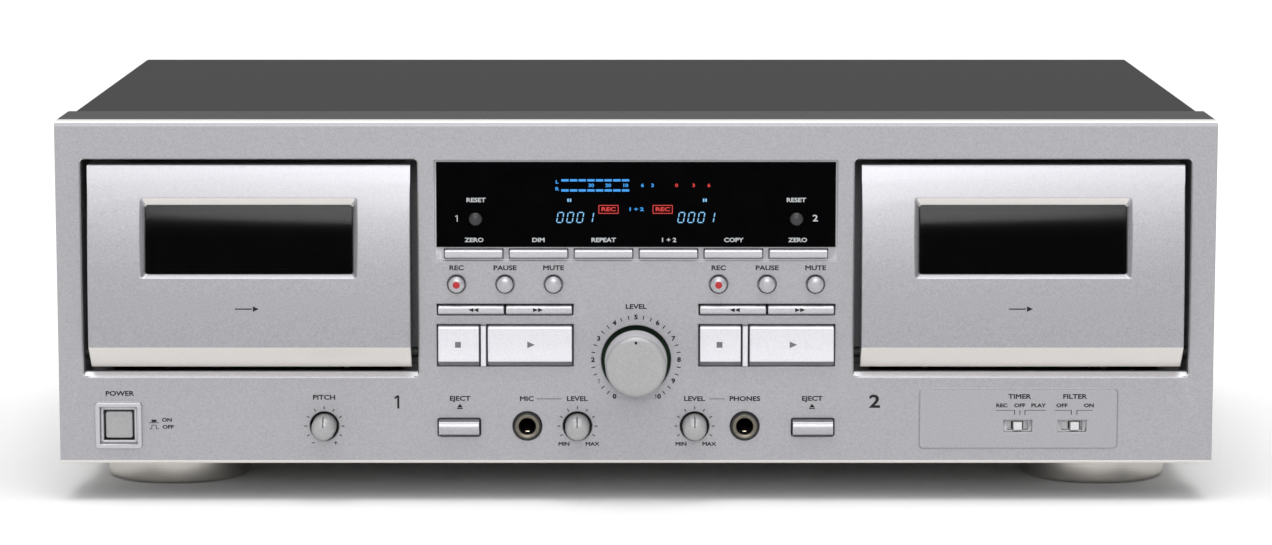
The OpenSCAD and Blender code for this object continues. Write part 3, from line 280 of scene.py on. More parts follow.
def roundEdges(piece, width, segments, sharper, chooser, drop=0.0):
    # bevels the sharp edges whose two ends chooser accepts, given as x, depth behind the panel's front, z;
    # drop is the least difference in depth between the two ends
    pick(piece)
    useEdit("EDGE")
    bpy.ops.mesh.select_all(action="DESELECT")
    bpy.ops.mesh.edges_select_sharp(sharpness=math.radians(sharper))
    leaveEdit()
    ends = [whereIs(v.co) for v in piece.data.vertices]

    def wanted(edge):
        one, two = (ends[i] for i in edge.vertices)
        return edge.select and chooser(*one) and chooser(*two) and abs(one[1] - two[1]) >= drop

    chosen = [wanted(edge) for edge in piece.data.edges]
    for kind in (piece.data.polygons, piece.data.vertices):
        kind.foreach_set("select", [False] * len(kind))
    piece.data.edges.foreach_set("select", chosen)
    bpy.ops.object.mode_set(mode="EDIT")
    bpy.ops.mesh.bevel(offset=width * mm, segments=segments, affect="EDGES", loop_slide=False)
    leaveEdit()


def softCopy(node, name, edge, segments=2, first=(), sharper=sharpAngle["solid"], keep=lambda x, d, z: True):
    # a copy of a solid with its sharp edges rounded, as a moulding has them; first lists the rounds that
    # come before, each a width, a count of segments, a chooser and, for some, a drop
    flatAngle = 0.4  # faces that differ by less are one, in degrees
    piece = bpy.data.objects.new(name, nodes[node].data.copy())
    bpy.context.scene.collection.objects.link(piece)
    pick(piece)
    useEdit("VERT")
    selectAll()
    bpy.ops.mesh.remove_doubles(threshold=mergeGap * mm)
    bpy.ops.mesh.dissolve_limited(angle_limit=math.radians(flatAngle))
    leaveEdit()
    for width, steps, chooser, *drop in first:
        roundEdges(piece, width, steps, sharper, chooser, *drop)
    roundEdges(piece, edge, segments, sharper, keep)
    smoothEdges(piece, sharper)
    return piece


def curveFront(piece, low, high, front, cuts, newDepth, rake=0.0):
    # cuts a face into level strips and bends it: newDepth takes -1 to 1 up the face and gives the depth to
    # add; front is the depth that the face lies in front of, and rake is how far that falls back going up
    middle, half = (low + high) / 2, (high - low) / 2
    pick(piece)
    useEdit("VERT")
    for i in range(1, cuts + 1):
        selectAll()
        bpy.ops.mesh.bisect(plane_co=(0, 0, (low + 2 * half * i / (cuts + 1)) * mm), plane_no=(0, 0, 1))
    leaveEdit()
    for v in piece.data.vertices:
        x, d, z = whereIs(v.co)
        up = (z - middle) / half
        if abs(up) <= 1 and d < front + rake * up:
            v.co.y += newDepth(up) * mm
    smoothEdges(piece, sharpAngle["bentFace"])


def cutAway(piece, cuts):
    # slices a piece by planes, each a point and the way of what goes
    pick(piece)
    useEdit("VERT")
    for point, way in cuts:
        selectAll()
        bpy.ops.mesh.bisect(plane_co=point, plane_no=way, use_fill=True, clear_outer=True)
    leaveEdit()


def turned(name, profile, x=0.0, z=0.0, sides=72, ring=False, upright=None):
    # a turned shape from (radius, depth) steps; upright gives (x, y) of a standing axis
    def spot(step):
        return Vector((upright[0], upright[1], step)) * mm if upright else place(x, step, z)
    deselect()
    radius, step = profile[0]
    bpy.ops.mesh.primitive_circle_add(
        vertices=sides, radius=radius * mm, fill_type="NOTHING" if ring else "NGON",
        location=spot(step), rotation=(0 if upright else math.pi / 2, 0, 0))
    piece = bpy.context.object
    piece.name = name
    settle()
    useEdit("VERT")
    selectAll()
    for nextRadius, nextStep in profile[1:]:
        shift = spot(nextStep) - spot(step)
        bpy.ops.mesh.extrude_region_move(TRANSFORM_OT_translate={"value": shift})
        k = nextRadius / radius
        bpy.ops.transform.resize(value=(k, k, 1) if upright else (k, 1, k), center_override=spot(nextStep))
        radius, step = nextRadius, nextStep
    selectAll()
    bpy.ops.mesh.remove_doubles(threshold=mergeGap * mm)
    bpy.ops.mesh.normals_make_consistent(inside=False)
    leaveEdit()
    smoothEdges(piece, sharpAngle["turned"])
    return piece


def block(name, x, d, z, w, deep, h, edge, segments=2, chooser=lambda x, d, z: True):
    # a small moulded block about a middle point, with its edges rounded
    deselect()
    bpy.ops.mesh.primitive_cube_add(size=1, location=place(x, d, z))
    piece = bpy.context.object
    piece.name = name
    piece.scale = Vector((w, deep, h)) * mm
    settle()
    roundEdges(piece, edge, segments, sharpAngle["cube"], chooser)
    smoothEdges(piece, sharpAngle["block"])
    return piece


def twin(piece, name, dx, dy=0.0):
    pick(piece)
    bpy.ops.object.duplicate()
    copy = bpy.context.object
    copy.name = name
    bpy.ops.transform.translate(value=(dx * mm, dy * mm, 0))
    settle()
    return copy


def joined(name, pieces):
    pick(pieces[0])
    for piece in pieces:
        piece.select_set(True)
    bpy.ops.object.join()
    whole = bpy.context.object
    whole.name = name
    return whole


# a print's film: how far it stands off what carries it, its thickness, and a capital's share of the font size
film = {"proud": 0.03, "thick": 0.02, "capital": 0.73}


def words(text, x, z, height, d=0.0, stretch=1.25, weight=0.07):
    # height is the height of a capital, and the letters are drawn wide, as on the panel
    deselect()
    bpy.ops.object.text_add(location=(0, 0, 0))
    label = bpy.context.object
    label.data.body = text
    label.data.size = height / film["capital"] * mm
    label.data.align_x, label.data.align_y = "CENTER", "CENTER"
    label.data.resolution_u = 3
    label.data.bevel_depth, label.data.bevel_resolution = weight * mm, 0  # thickens the strokes
    bpy.ops.object.convert(target="MESH")
    label = bpy.context.object
    label.scale = (stretch, 1, 1)
    label.rotation_euler = (math.pi / 2, 0, 0)
    label.location = place(x, d - film["proud"], z)
    settle()
    return label


def bar(x, z, w, h, turn=0.0, d=0.0, sides=4):
    # a printed bar, or a triangle with three sides, turned clockwise in degrees
    deselect()
    square = sides == 4
    bpy.ops.mesh.primitive_circle_add(vertices=sides, fill_type="NGON",
                                      radius=math.sqrt(0.5) if square else 0.5)
    mark = bpy.context.object
    mark.rotation_euler = (0, 0, math.pi / 4 if square else 0)
    settle()
    mark.scale = (w * mm, h * mm, 1)
    settle()
    mark.rotation_euler = (math.pi / 2, math.radians(turn), 0)
    mark.location = place(x, d - film["proud"] + film["thick"] / 2, z)
    settle()
    useEdit("FACE")
    selectAll()
    bpy.ops.mesh.extrude_region_move(TRANSFORM_OT_translate={"value": (0, -film["thick"] * mm, 0)})
    selectAll()
    bpy.ops.mesh.normals_make_consistent(inside=False)
    leaveEdit()
    return mark


# the figure's stem and flag, in shares of its height, with the flag's stroke as a share of the stem's
figureOne = {"stemX": 0.07, "flagX": -0.075, "flagZ": 0.38, "flagLong": 0.33, "flagStroke": 0.88,
             "flagTurn": 52}


def flaggedOne(x, z, height, d=0.0, stroke=0.125):
    # a figure 1 with a flag, which the plain letters lack
    stem = bar(x + figureOne["stemX"] * height, z, stroke * height, height, 0, d)
    flag = bar(x + figureOne["flagX"] * height, z + figureOne["flagZ"] * height,
               stroke * figureOne["flagStroke"] * height, figureOne["flagLong"] * height,
               figureOne["flagTurn"], d)
    return [stem, flag]


def fanTicks(x, z, radius, length, width, angles):
    return [bar(x + radius * math.sin(math.radians(a)), z + radius * math.cos(math.radians(a)),
                width, length, a) for a in angles]


# silver front panel: small rounds on every opening, wider ones round the door openings and along the top
front = {"edge": 0.4, "edgeDepth": 0.05, "onFace": 0.01,
         "openingEdge": 0.8, "openingX": (81.8, 208.2), "openingZ": (47.8, 130.4),
         "rimTilt": (-0.95, -0.15),
         "top": 144.9, "topEdge": 1.1, "topBand": 1.3, "topLine": 1.0, "topFace": 0.5, "topTilt": 0.85,
         "lowEdge": 17.5, "lowTilt": -0.15,
         "powerX": -195.2, "powerZ": 29.3, "powerHalf": 9.0, "powerProud": 0.1}


def byOpening(x, z):
    return within(abs(x), front["openingX"]) and within(z, front["openingZ"])


panel = softCopy("front_panel", "frontPanel", front["edge"], 2, [
    (front["topEdge"], 4, lambda x, d, z: abs(d) < front["onFace"] and z > front["top"]),
    (front["openingEdge"], 3, lambda x, d, z: abs(d) < front["onFace"] and byOpening(x, z))],
    keep=lambda x, d, z: (d < front["edgeDepth"] and not byOpening(x, z)
                          and z < front["top"] - front["topBand"]))
# the rounds overshoot at the openings' lower corners: their points go back to the corner
stray = {"depth": (0.02, 3.1), "z": (48.1, 49.0), "inner": (75.0, 81.0), "outer": 208.9,
         "innerCorner": 81.95, "outerCorner": 208.05, "cornerZ": 48.0}
for v in panel.data.vertices:
    x, d, z = whereIs(v.co)
    inner = within(abs(x), stray["inner"])
    if (inner or abs(x) > stray["outer"]) and within(d, stray["depth"]) and within(z, stray["z"]):
        v.co.x = math.copysign(stray["innerCorner"] if inner else stray["outerCorner"], x) * mm
        v.co.z = stray["cornerZ"] * mm
coat(panel, panelSilver)
for finish in (paintedReflectionSilver, buttonSilver, paintedLightSilver):
    panel.data.materials.append(finish)
# the lower edge and the rims round the door openings and along the top take the lacquer with painted
# highlights and painted floor reflection, the top face the lighter one with painted light, and the raised
# power frame the brighter button lacquer
for face in panel.data.polygons:
    x, d, z = whereIs(face.center)
    fromPower = max(abs(x - front["powerX"]), abs(z - front["powerZ"]))
    onPower = fromPower < front["powerHalf"] and d < -front["powerProud"]
    onLowEdge = face.normal.z < front["lowTilt"] and z < front["lowEdge"]
    onTop = face.normal.z > front["topTilt"] and z > front["top"] - front["topFace"]
    byTopLine = z > front["top"] - front["topLine"]
    onRim = (byOpening(x, z) or byTopLine) and within(face.normal.y, front["rimTilt"])
    face.material_index = 1 if onLowEdge or onRim else 2 if onPower else 3 if onTop else 0
dress(panel, None, "case", "silver_panel", "front_panel")

# the door openings turn in at the bottom, as a ledge under each door
ledge = {"wide": 125.6, "front": 3.1, "back": 15.4, "top": 47.95, "thick": 1.0, "edge": 0.15,
         "sillDepth": (0.1, 5.5), "sillZ": (47.2, 49.6), "sillArris": 0.02,
         "sillEdge": 0.2, "sillTop": 49.3, "sillSharper": 20,
         "cuts": (((0.1, 47.7), (-1.9, 2.9)), ((3.4, 49.6), (0.7, 2.1)))}
for k in decks:
    shelf = block(f"doorLedge{k}", deckX[k], (ledge["front"] + ledge["back"]) / 2,
                  ledge["top"] - ledge["thick"] / 2, ledge["wide"], ledge["back"] - ledge["front"],
                  ledge["thick"], ledge["edge"])
    # the sill in front of it slopes up to the door's lower edge and keeps clear of the door's swing
    (d0, d1), (z0, z1) = ledge["sillDepth"], ledge["sillZ"]
    sill = block("sill", deckX[k], (d0 + d1) / 2, (z0 + z1) / 2, ledge["wide"], d1 - d0, z1 - z0,
                 ledge["sillArris"], segments=1)
    cutAway(sill, [(place(0, d, z), (0, back, up)) for (d, z), (back, up) in ledge["cuts"]])
    roundEdges(sill, ledge["sillEdge"], 2, ledge["sillSharper"], lambda x, d, z: z > ledge["sillTop"])
    smoothEdges(sill, sharpAngle["block"])
    # the shelf and sill take the brighter key and button lacquers: painted light where the door's lip shades
    # them
    pieces = [coat(shelf, keySilver), coat(sill, buttonSilver)]
    dress(joined(f"doorLedge{k}", pieces), None, "case", "silver_panel")

# sheet steel case and its screws
case = {"edge": 0.25, "pieces": {"top_cover": ("steelCover", coverSteel, "dark_steel"),
                                 "rear_panel": ("rearPanel", coverSteel, "dark_steel"),
                                 "screws": ("caseScrews", blackZinc, "dark_screws")}}
for node, (name, finish, slot) in case["pieces"].items():
    dress(softCopy(node, name, case["edge"]), finish, "case", slot, node)

# feet: a plated ring with a rubber pad let into it
feet = {"x": 179.3, "y": (-63.6, 97.0), "sides": 96,
        "ring": [(24.2, 3.0), (24.2, 0.5), (26.8, 0.4), (27.4, 0.5), (27.8, 0.85), (27.95, 1.2), (28.0, 1.5),
                 (28.0, 12.4), (27.8, 13.2), (27.8, 17.0), (22.0, 17.0), (22.0, 3.0), (24.2, 3.0)],
        "pad": [(23.0, 2.95), (23.9, 2.95), (23.9, 0.6), (23.3, 0.1), (22.6, 0.0), (15.0, 0.0), (14.4, 0.5),
                (11.0, 0.5), (10.4, 0.0), (1.0, 0.0)]}
frontLeft = (-feet["x"], feet["y"][0])
ring = turned("footRing", feet["ring"], sides=feet["sides"], ring=True, upright=frontLeft)
pad = turned("footPad", feet["pad"], sides=feet["sides"], upright=frontLeft)
footOne = [coat(ring, footRing), coat(pad, padRubber)]
footParts = list(footOne)
across, back = 2 * feet["x"], feet["y"][1] - feet["y"][0]
for dx, dy in ((across, 0), (0, back), (across, back)):
    footParts += [twin(p, p.name, dx, dy) for p in footOne]
dress(joined("feetAndPads", footParts), None, "case", "foot_plastic", "feet")
print("case made")

# doors: convex face, rounded along the top
door = {"edge": 0.35, "sharper": 22, "frontDepth": 3.5, "slope": -0.25, "lookDown": -0.2,
        "top": 128.3, "topEdge": 1.3, "topBand": 1.4, "topSlack": 0.02, "topDepth": 0.3,
        "recessHalf": 41.5, "recessZ": (85.5, 117.5), "recessEdge": 0.25, "recessDepth": 1.6,
        "recessCorner": 0.9, "cornerDrop": 1.2,
        "arrowZ": 74.4, "arrow": ((-2.1, 6.4, 0.45, 0, 4), (2.2, 2.4, 3.0, 90, 3)), "room": -30.0}
inward = Vector((0, 1, 0))  # the way from the room to the door


def inRecess(x, d, z):
    return abs(abs(x) - deckX[2]) < door["recessHalf"] and within(z, door["recessZ"])


def byDoorTop(x, d, z):
    return z > door["top"] - door["topSlack"] and d < door["topDepth"]


def byRecessRim(x, d, z):
    return d < door["recessDepth"] and inRecess(x, d, z)


def onDoorFront(x, d, z):
    return d < door["frontDepth"] and z < door["top"] - door["topBand"] and not inRecess(x, d, z)


for k in decks:
    piece = softCopy(f"door_{k}", f"tapeDoor{k}", door["edge"], 2, [
        (door["topEdge"], 6, byDoorTop), (door["recessCorner"], 3, inRecess, door["cornerDrop"]),
        (door["recessEdge"], 2, byRecessRim)], door["sharper"], onDoorFront)
    coat(piece, doorSilver).data.materials.append(paintedReflectionSilver)
    for face in piece.data.polygons:
        # the lip and the window's upper slope look down at the table and take the lacquer with the painted
        # floor reflection
        face.material_index = int(face.normal.z < door["slope"] and face.normal.y < door["lookDown"])
    # a plain arrow printed under the window shows which way the tape runs
    hit = piece.ray_cast(place(deckX[k], door["room"], door["arrowZ"]), inward)[1]
    onFace = whereIs(hit)[1]
    arrow = [bar(deckX[k] + dx, door["arrowZ"], w, h, turn, onFace, sides)
             for dx, w, h, turn, sides in door["arrow"]]
    dress(joined(f"doorArrow{k}", [coat(p, darkInk) for p in arrow]), None, f"door_{k}", "dark_plastic")
    dress(piece, None, f"door_{k}", "silver_door", f"door_{k}")

# door windows: smoked acrylic that curves back towards the top
window = {"cuts": 23, "edge": 0.06, "thick": 2.0, "bend": 0.9, "forward": 0.3}
for k in decks:
    node = f"door_window_{k}"
    lens = softCopy(node, f"doorWindow{k}", window["edge"], segments=1)
    lo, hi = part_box(node)
    middleDepth = (lo.y + hi.y) / 2 / mm - faceY
    rake = ((hi.y - lo.y) / mm - window["thick"]) / 2
    curveFront(lens, lo.z / mm, hi.z / mm, middleDepth, window["cuts"],
               lambda up: window["bend"] * max(0.0, up) ** 2 - window["forward"], rake)
    dress(lens, smokedAcrylic, f"door_{k}", "smoked_acrylic", node)
print("doors made")

# inner solids keep their shape and get their finish
inside = {"front_frame": charcoalAbs, "chassis_tray": zincSteel, "transport_frames": greyAbs,
          "drive_motors": zincSteel, "key_board": keyBoardFinish, "main_board": mainBoardFinish,
          "transformer": coreFinish}
for k in decks:
    inside.update({f"cassette_holder_{k}": blackAbs, f"supply_hub_{k}": hubAcetal,
                   f"takeup_hub_{k}": hubAcetal, f"flywheel_{k}": zincSteel, f"head_bridge_{k}": zincSteel})
for node, finish in inside.items():
    coat(nodes[node], finish)
print("inner solids coated")


def proud(x, d, z):
    return d < 0  # what stands out of the panel's front


# keys: moulded caps with rounded edges and printed signs
keys = {"edge": 0.4, "wideFace": -2.6, "seekFace": -2.2, "faceSlack": 0.05, "slope": -0.4,
        "dish": 0.22, "dishCuts": 9, "flat": (54.0, 67.0),
        "stop": {1: -66.9, 2: 31.4}, "play": {1: -39.9, 2: 58.7}, "signZ": 60.4,
        "square": (2.2, 2.2), "triangle": (2.9, 3.8),
        "rewind": {1: -60.7, 2: 37.4}, "forward": {1: -37.1, 2: 61.3}, "seekZ": 73.6,
        "seekMark": (1.9, 2.5), "seekPair": (-0.95, 0.95)}


def makeKeys(k):
    onDish = keys["wideFace"] + keys["dish"]
    signs = {"stop": [bar(keys["stop"][k], keys["signZ"], *keys["square"], 0, onDish)],
             "play": [bar(keys["play"][k], keys["signZ"], *keys["triangle"], 90, onDish, 3)]}
    for kind, turn in (("rewind", -90), ("forward", 90)):
        signs[kind] = [bar(keys[kind][k] + s, keys["seekZ"], *keys["seekMark"], turn, keys["seekFace"], 3)
                       for s in keys["seekPair"]]
    for kind, marks in signs.items():
        node = f"{kind}_key_{k}"
        wide = kind in ("stop", "play")
        cap = softCopy(node, node, keys["edge"], segments=3)
        if wide:
            curveFront(cap, *keys["flat"], keys["wideFace"] + keys["faceSlack"], keys["dishCuts"],
                       lambda up: keys["dish"] * (1 - up * up))
        coat(cap, keySilver if wide else buttonSilver).data.materials.append(paintedShadeSlopeSilver)
        # the wide keys' faces that turn down take the darker lacquer: painted shade
        for face in cap.data.polygons:
            face.material_index = int(wide and max(face.normal.z, face.normal.y) < keys["slope"])
        inked = [coat(mark, greyInk if wide else darkInk) for mark in marks]
        dress(joined(f"{kind}Key{k}", [cap] + inked), None, node, "silver_keys", node)


# eject buttons: half-round bars, with a face that falls back towards its upper and lower edges
eject = {"edge": 0.2, "z": 28.5, "half": 3.0, "round": 1.6, "front": -1.2, "cuts": 13}


def makeEject(k):
    node = f"eject_button_{k}"
    barrel = softCopy(node, f"ejectButton{k}", eject["edge"])
    curveFront(barrel, eject["z"] - eject["half"], eject["z"] + eject["half"], eject["front"], eject["cuts"],
               lambda up: eject["round"] * (1 - math.sqrt(max(0.0, 1 - up * up))))
    dress(barrel, capSilver, node, "silver_keys", node)


# a rib stands between each stop and play key, with a black sheet round it: painted shade for the gaps at its
# sides
keyRib = {"x": {1: -57.35, 2: 41.05}, "z": 59.8, "size": (2.0, 2.4, 15.2), "sunk": 0.6, "edge": 0.3,
          "paintedGapShade": (3.5, 0.16, 15.8), "paintedGapShadeDepth": -0.02, "paintedGapShadeEdge": 0.03}


def makeRib(k):
    wide, deep, tall = keyRib["size"]
    rib = block("rib", keyRib["x"][k], (keyRib["sunk"] - deep) / 2, keyRib["z"], wide,
                deep + keyRib["sunk"], tall, keyRib["edge"], 3, proud)
    paintedGapShade = block("paintedGapShade", keyRib["x"][k], keyRib["paintedGapShadeDepth"], keyRib["z"], *keyRib["paintedGapShade"],
                    keyRib["paintedGapShadeEdge"], 1, proud)
    pieces = [coat(rib, keySilver), coat(paintedGapShade, blackAbs)]
    dress(joined(f"keyRib{k}", pieces), None, "case", "silver_panel")


for k in decks:
    makeKeys(k)
    makeEject(k)
    makeRib(k)

# function keys under the display
functionKey = {"edge": 0.35, "count": 6}
for i in range(1, functionKey["count"] + 1):
    node = f"function_button_{i}"
    cap = softCopy(node, f"functionKey{i}", functionKey["edge"], segments=3)
    dress(cap, buttonSilver, node, "silver_keys", node)

# power button, with a stepped inner frame round it
power = {"edge": 0.5, "half": 7.0, "wide": 1.25, "front": 0.7, "deep": 2.2, "gap": 0.04, "frameEdge": 0.5,
         "roundTo": 2.0}
button = softCopy("power_button", "powerButton", power["edge"], segments=3)
dress(button, knobSilver, "power_button", "silver_keys", "power_button")
innerFrame = []
away, length = power["half"] - power["wide"] / 2, 2 * power["half"] - power["gap"]
for dx, dz in ((0, 1), (0, -1), (1, 0), (-1, 0)):
    side = block("powerStep", front["powerX"] + dx * away, power["front"] + power["deep"] / 2,
                 front["powerZ"] + dz * away, length if dz else power["wide"], power["deep"],
                 length if dx else power["wide"], power["frameEdge"], 3, lambda x, d, z: d < power["roundTo"])
    # the inner frame takes the lighter lacquer: painted light in the hole's shade
    innerFrame.append(coat(side, paintedLightSilver))
dress(joined("powerInnerFrame", innerFrame), None, "case", "silver_panel")
print("keys made")

# round buttons: domed caps on a flange and stem
roundButton = {"z": 83.1, "dotSides": 32, "x": {1: (-67.4, -49.2, -31.0), 2: (31.0, 49.2, 67.4)},
               "profile": [(1.4, 10.5), (1.4, 4.6), (4.5, 4.6), (4.5, 3.4), (3.0, 3.4), (3.0, -2.0),
                           (2.9, -2.35), (2.6, -2.6), (2.1, -2.8), (1.4, -2.93), (0.7, -2.99), (0.2, -3.0)],
               "dot": [(1.35, -2.9), (1.35, -2.98), (1.2, -3.02), (0.2, -3.05)]}
model = turned("roundButton", roundButton["profile"], 0, roundButton["z"])
for k in decks:
    for kind, x in zip(("record", "pause", "mute"), roundButton["x"][k]):
        node = f"{kind}_button_{k}"
        cap = coat(twin(model, f"{kind}Button{k}", x), capSilver)
        if kind == "record":
            dot = turned("recordDot", roundButton["dot"], x, roundButton["z"], roundButton["dotSides"])
            cap = joined(f"recordButton{k}", [cap, coat(dot, redPaint)])
        dress(cap, None, node, "silver_keys", node)
bpy.data.objects.remove(model)

# counter reset buttons in the display lens
resetButton = {"x": {1: -60.2, 2: 60.2}, "z": 107.7, "sides": 48,
               "profile": [(1.4, 10.5), (1.4, 5.6), (3.5, 5.6), (3.5, 4.4), (2.5, 4.4), (2.5, -0.1),
                           (2.4, -0.4), (2.1, -0.7), (1.6, -0.95), (0.9, -1.15), (0.2, -1.2)]}
for k in decks:
    node = f"counter_reset_button_{k}"
    cap = turned(f"counterResetButton{k}", resetButton["profile"], resetButton["x"][k], resetButton["z"],
                 resetButton["sides"])
    dress(cap, resetAbs, node, "black_plastic", node)

# record level knob: a slightly flared drum with a rounded rim, on a black neck
levelKnob = {"z": 54.3, "dotUp": 9.0, "sideTilt": 0.3, "drumSides": 128, "neckSides": 96, "dotSides": 32,
             "neck": [(3.0, 13.5), (3.0, 2.0), (10.4, 2.0), (10.4, -2.95), (3.0, -2.95)],
             "profile": [(3.0, -2.85), (11.55, -2.85), (11.7, -2.95), (11.75, -3.2), (11.45, -15.2),
                         (11.38, -15.7), (11.15, -16.15), (10.8, -16.5), (10.35, -16.7), (9.9, -16.78),
                         (8.0, -16.8), (0.4, -16.8)],
             "dot": [(0.55, -16.6), (0.55, -16.82), (0.45, -16.84), (0.1, -16.84)]}
knob = coat(turned("levelDrum", levelKnob["profile"], 0, levelKnob["z"], levelKnob["drumSides"]), knobSilver)
knob.data.materials.append(paintedLightSilver)
# the drum's side takes the lighter lacquer: painted light
for face in knob.data.polygons:
    face.material_index = int(abs(face.normal.y) < levelKnob["sideTilt"])
dot = coat(turned("levelDot", levelKnob["dot"], 0, levelKnob["z"] + levelKnob["dotUp"],
                  levelKnob["dotSides"]), darkInk)
neck = coat(turned("levelNeck", levelKnob["neck"], 0, levelKnob["z"], levelKnob["neckSides"]), blackAbs)
dress(joined("recLevelKnob", [knob, dot, neck]), None, "rec_level_knob", "silver_keys", "rec_level_knob")

# small knobs: domed, with an upright pointer line
smallKnob = {"z": 29.0, "sides": 64,
             "x": {"pitch_knob": -117.6, "mic_level_knob": -22.1, "phones_level_knob": 22.1},
             "stem": [(2.0, 13.5), (2.0, 2.0), (4.6, 2.0)],
             "dome": [(4.5, -5.6), (4.4, -6.6), (4.2, -7.2), (3.8, -7.75), (3.2, -8.2), (2.4, -8.5),
                      (1.4, -8.72), (0.2, -8.8)],
             "lineHalf": 0.28, "lineUp": 0.8, "lineProud": 0.05}
body = turned("smallKnob", smallKnob["stem"] + smallKnob["dome"], 0, smallKnob["z"], smallKnob["sides"])
lineDome = [(r + smallKnob["lineProud"], d - smallKnob["lineProud"]) for r, d in smallKnob["dome"]]
line = turned("smallPointer", lineDome, 0, smallKnob["z"], smallKnob["sides"])
cutAway(line, [(place(-smallKnob["lineHalf"], 0, 0), (-1, 0, 0)),
               (place(smallKnob["lineHalf"], 0, 0), (1, 0, 0)),
               (place(0, 0, smallKnob["z"] + smallKnob["lineUp"]), (0, 0, -1))])
for node, x in smallKnob["x"].items():
    parts = [coat(twin(body, "knobBody", x), knobSilver), coat(twin(line, "knobLine", x), greyInk)]
    dress(joined(pieceName(node), parts), None, node, "silver_keys", node)
bpy.data.objects.remove(body)
bpy.data.objects.remove(line)

# slide switches: a grey slider with its shutter and a black plate behind it
slider = {"z": 29.0, "x": {"timer_switch_knob": 144.1, "noise_switch_knob": 165.6}, "edge": 0.2,
          "shutter": (12.6, 5.2), "shutterFront": 3.5, "plate": (4.6, 3.1), "plateFront": 3.32,
          "thick": 0.3, "thinEdge": 0.08}
for node, x in slider["x"].items():
    pieces = [coat(softCopy(node, node, slider["edge"]), switchAbs)]
    for kind, finish in (("shutter", shutterAbs), ("plate", blackAbs)):
        w, h = slider[kind]
        thin = block(kind, x, slider[f"{kind}Front"] + slider["thick"] / 2, slider["z"], w,
                     slider["thick"], h, slider["thinEdge"], 1)
        pieces.append(coat(thin, finish))
    dress(joined(pieceName(node), pieces), None, node, "black_plastic", node)
print("knobs made")

# phone jacks: black bodies with a nickel collar, and a tip spring that shows low in the bore
jack = {"x": 41.0, "z": 29.0, "edge": 0.3,
        "rim": [(4.5, 2.6), (5.2, 2.6), (5.2, -0.6), (5.12, -0.9), (5.0, -1.02), (4.6, -1.05), (4.5, -1.0),
                (4.5, 2.6)],
        "cone": [(3.3, -0.6), (4.5, -0.6), (4.5, -0.98), (4.4, -1.02), (4.25, -1.01), (3.45, -0.88),
                 (3.3, -0.82), (3.3, -0.6)],
        "spring": (2.0, 6.0, 0.7), "springDepth": 4.5, "springDown": 2.35, "springEdge": 0.3}
bodies = softCopy("phone_jacks", "phoneJackBodies", jack["edge"])
dress(bodies, blackAbs, "case", "black_plastic", "phone_jacks")
collars = []
for x in (-jack["x"], jack["x"]):
    collars.append(coat(turned("jackRim", jack["rim"], x, jack["z"], ring=True), blackAbs))
    collars.append(coat(turned("jackCone", jack["cone"], x, jack["z"], ring=True), nickel))
    spring = block("spring", x, jack["springDepth"], jack["z"] - jack["springDown"], *jack["spring"],
                   jack["springEdge"], 3)
    collars.append(coat(spring, springBrass))
dress(joined("jackCollars", collars), None, "case", "plated_steel")

# rear sockets: black block, nickel shells and coloured inserts
rear = {"x": 150.0, "z": 76.6, "dx": 9.0, "dz": 8.0, "edge": 0.25, "sides": 48,
        "shell": [(3.4, 267.0), (4.2, 267.0), (4.2, 269.0), (4.0, 269.3), (3.5, 269.3), (3.4, 269.1),
                  (3.4, 267.0)],
        "insert": [(1.75, 268.0), (3.35, 268.0), (3.35, 269.25), (1.85, 269.25), (1.75, 269.15),
                   (1.75, 268.0)]}
blocks = softCopy("rear_sockets", "rearSocketBlocks", rear["edge"])
dress(blocks, blackAbs, "case", "black_plastic", "rear_sockets")
plated, inserts = [], []
for sx in (-1, 1):
    for sz in (-1, 1):
        at = (rear["x"] + sx * rear["dx"], rear["z"] + sz * rear["dz"], rear["sides"], True)
        plated.append(coat(turned("shell", rear["shell"], *at), nickel))
        inserts.append(coat(turned("insert", rear["insert"], *at), whiteInsert if sx > 0 else redInsert))
dress(joined("lineSocketShells", plated), None, "case", "plated_steel")
dress(joined("lineSocketInserts", inserts), None, "case", "white_plastic")
print("jacks and sockets made")

# printed signs on the panel: plain words and numbers, tick marks and lines, in heights of a capital
prints = {"small": 1.4, "label": 1.8, "dial": 1.75, "tick": 0.36, "roundZ": 89.2,
          "deck": 5.0, "deckX": 90.0, "deckZ": 38.2, "deckStroke": 0.16, "deckWeight": 0.16}
panelWords = (("POWER", -194.7, 41.4, "label"), ("ON", -177.0, 31.3, "small"), ("OFF", -176.6, 28.6, "small"),
              ("PITCH", -117.6, 39.9, "label"), ("EJECT", -66.4, 39.5, "label"),
              ("EJECT", 66.4, 39.5, "label"), ("MIC", -41.2, 39.4, "label"), ("LEVEL", -22.2, 39.4, "label"),
              ("LEVEL", 22.0, 39.4, "label"), ("PHONES", 41.0, 39.4, "label"),
              ("MIN", -27.2, 22.1, "small"), ("MAX", -16.5, 22.1, "small"),
              ("MIN", 17.0, 22.1, "small"), ("MAX", 27.6, 22.1, "small"), ("LEVEL", 0.0, 74.5, "label"))
ink = [words(text, x, z, prints[size]) for text, x, z, size in panelWords]
ink += flaggedOne(-prints["deckX"], prints["deckZ"], prints["deck"], 0.0, prints["deckStroke"])
ink.append(words("2", prints["deckX"], prints["deckZ"], prints["deck"], weight=prints["deckWeight"]))
for k in decks:
    for text, x in zip(("REC", "PAUSE", "MUTE"), roundButton["x"][k]):
        ink.append(words(text, x, prints["roundZ"], prints["label"]))

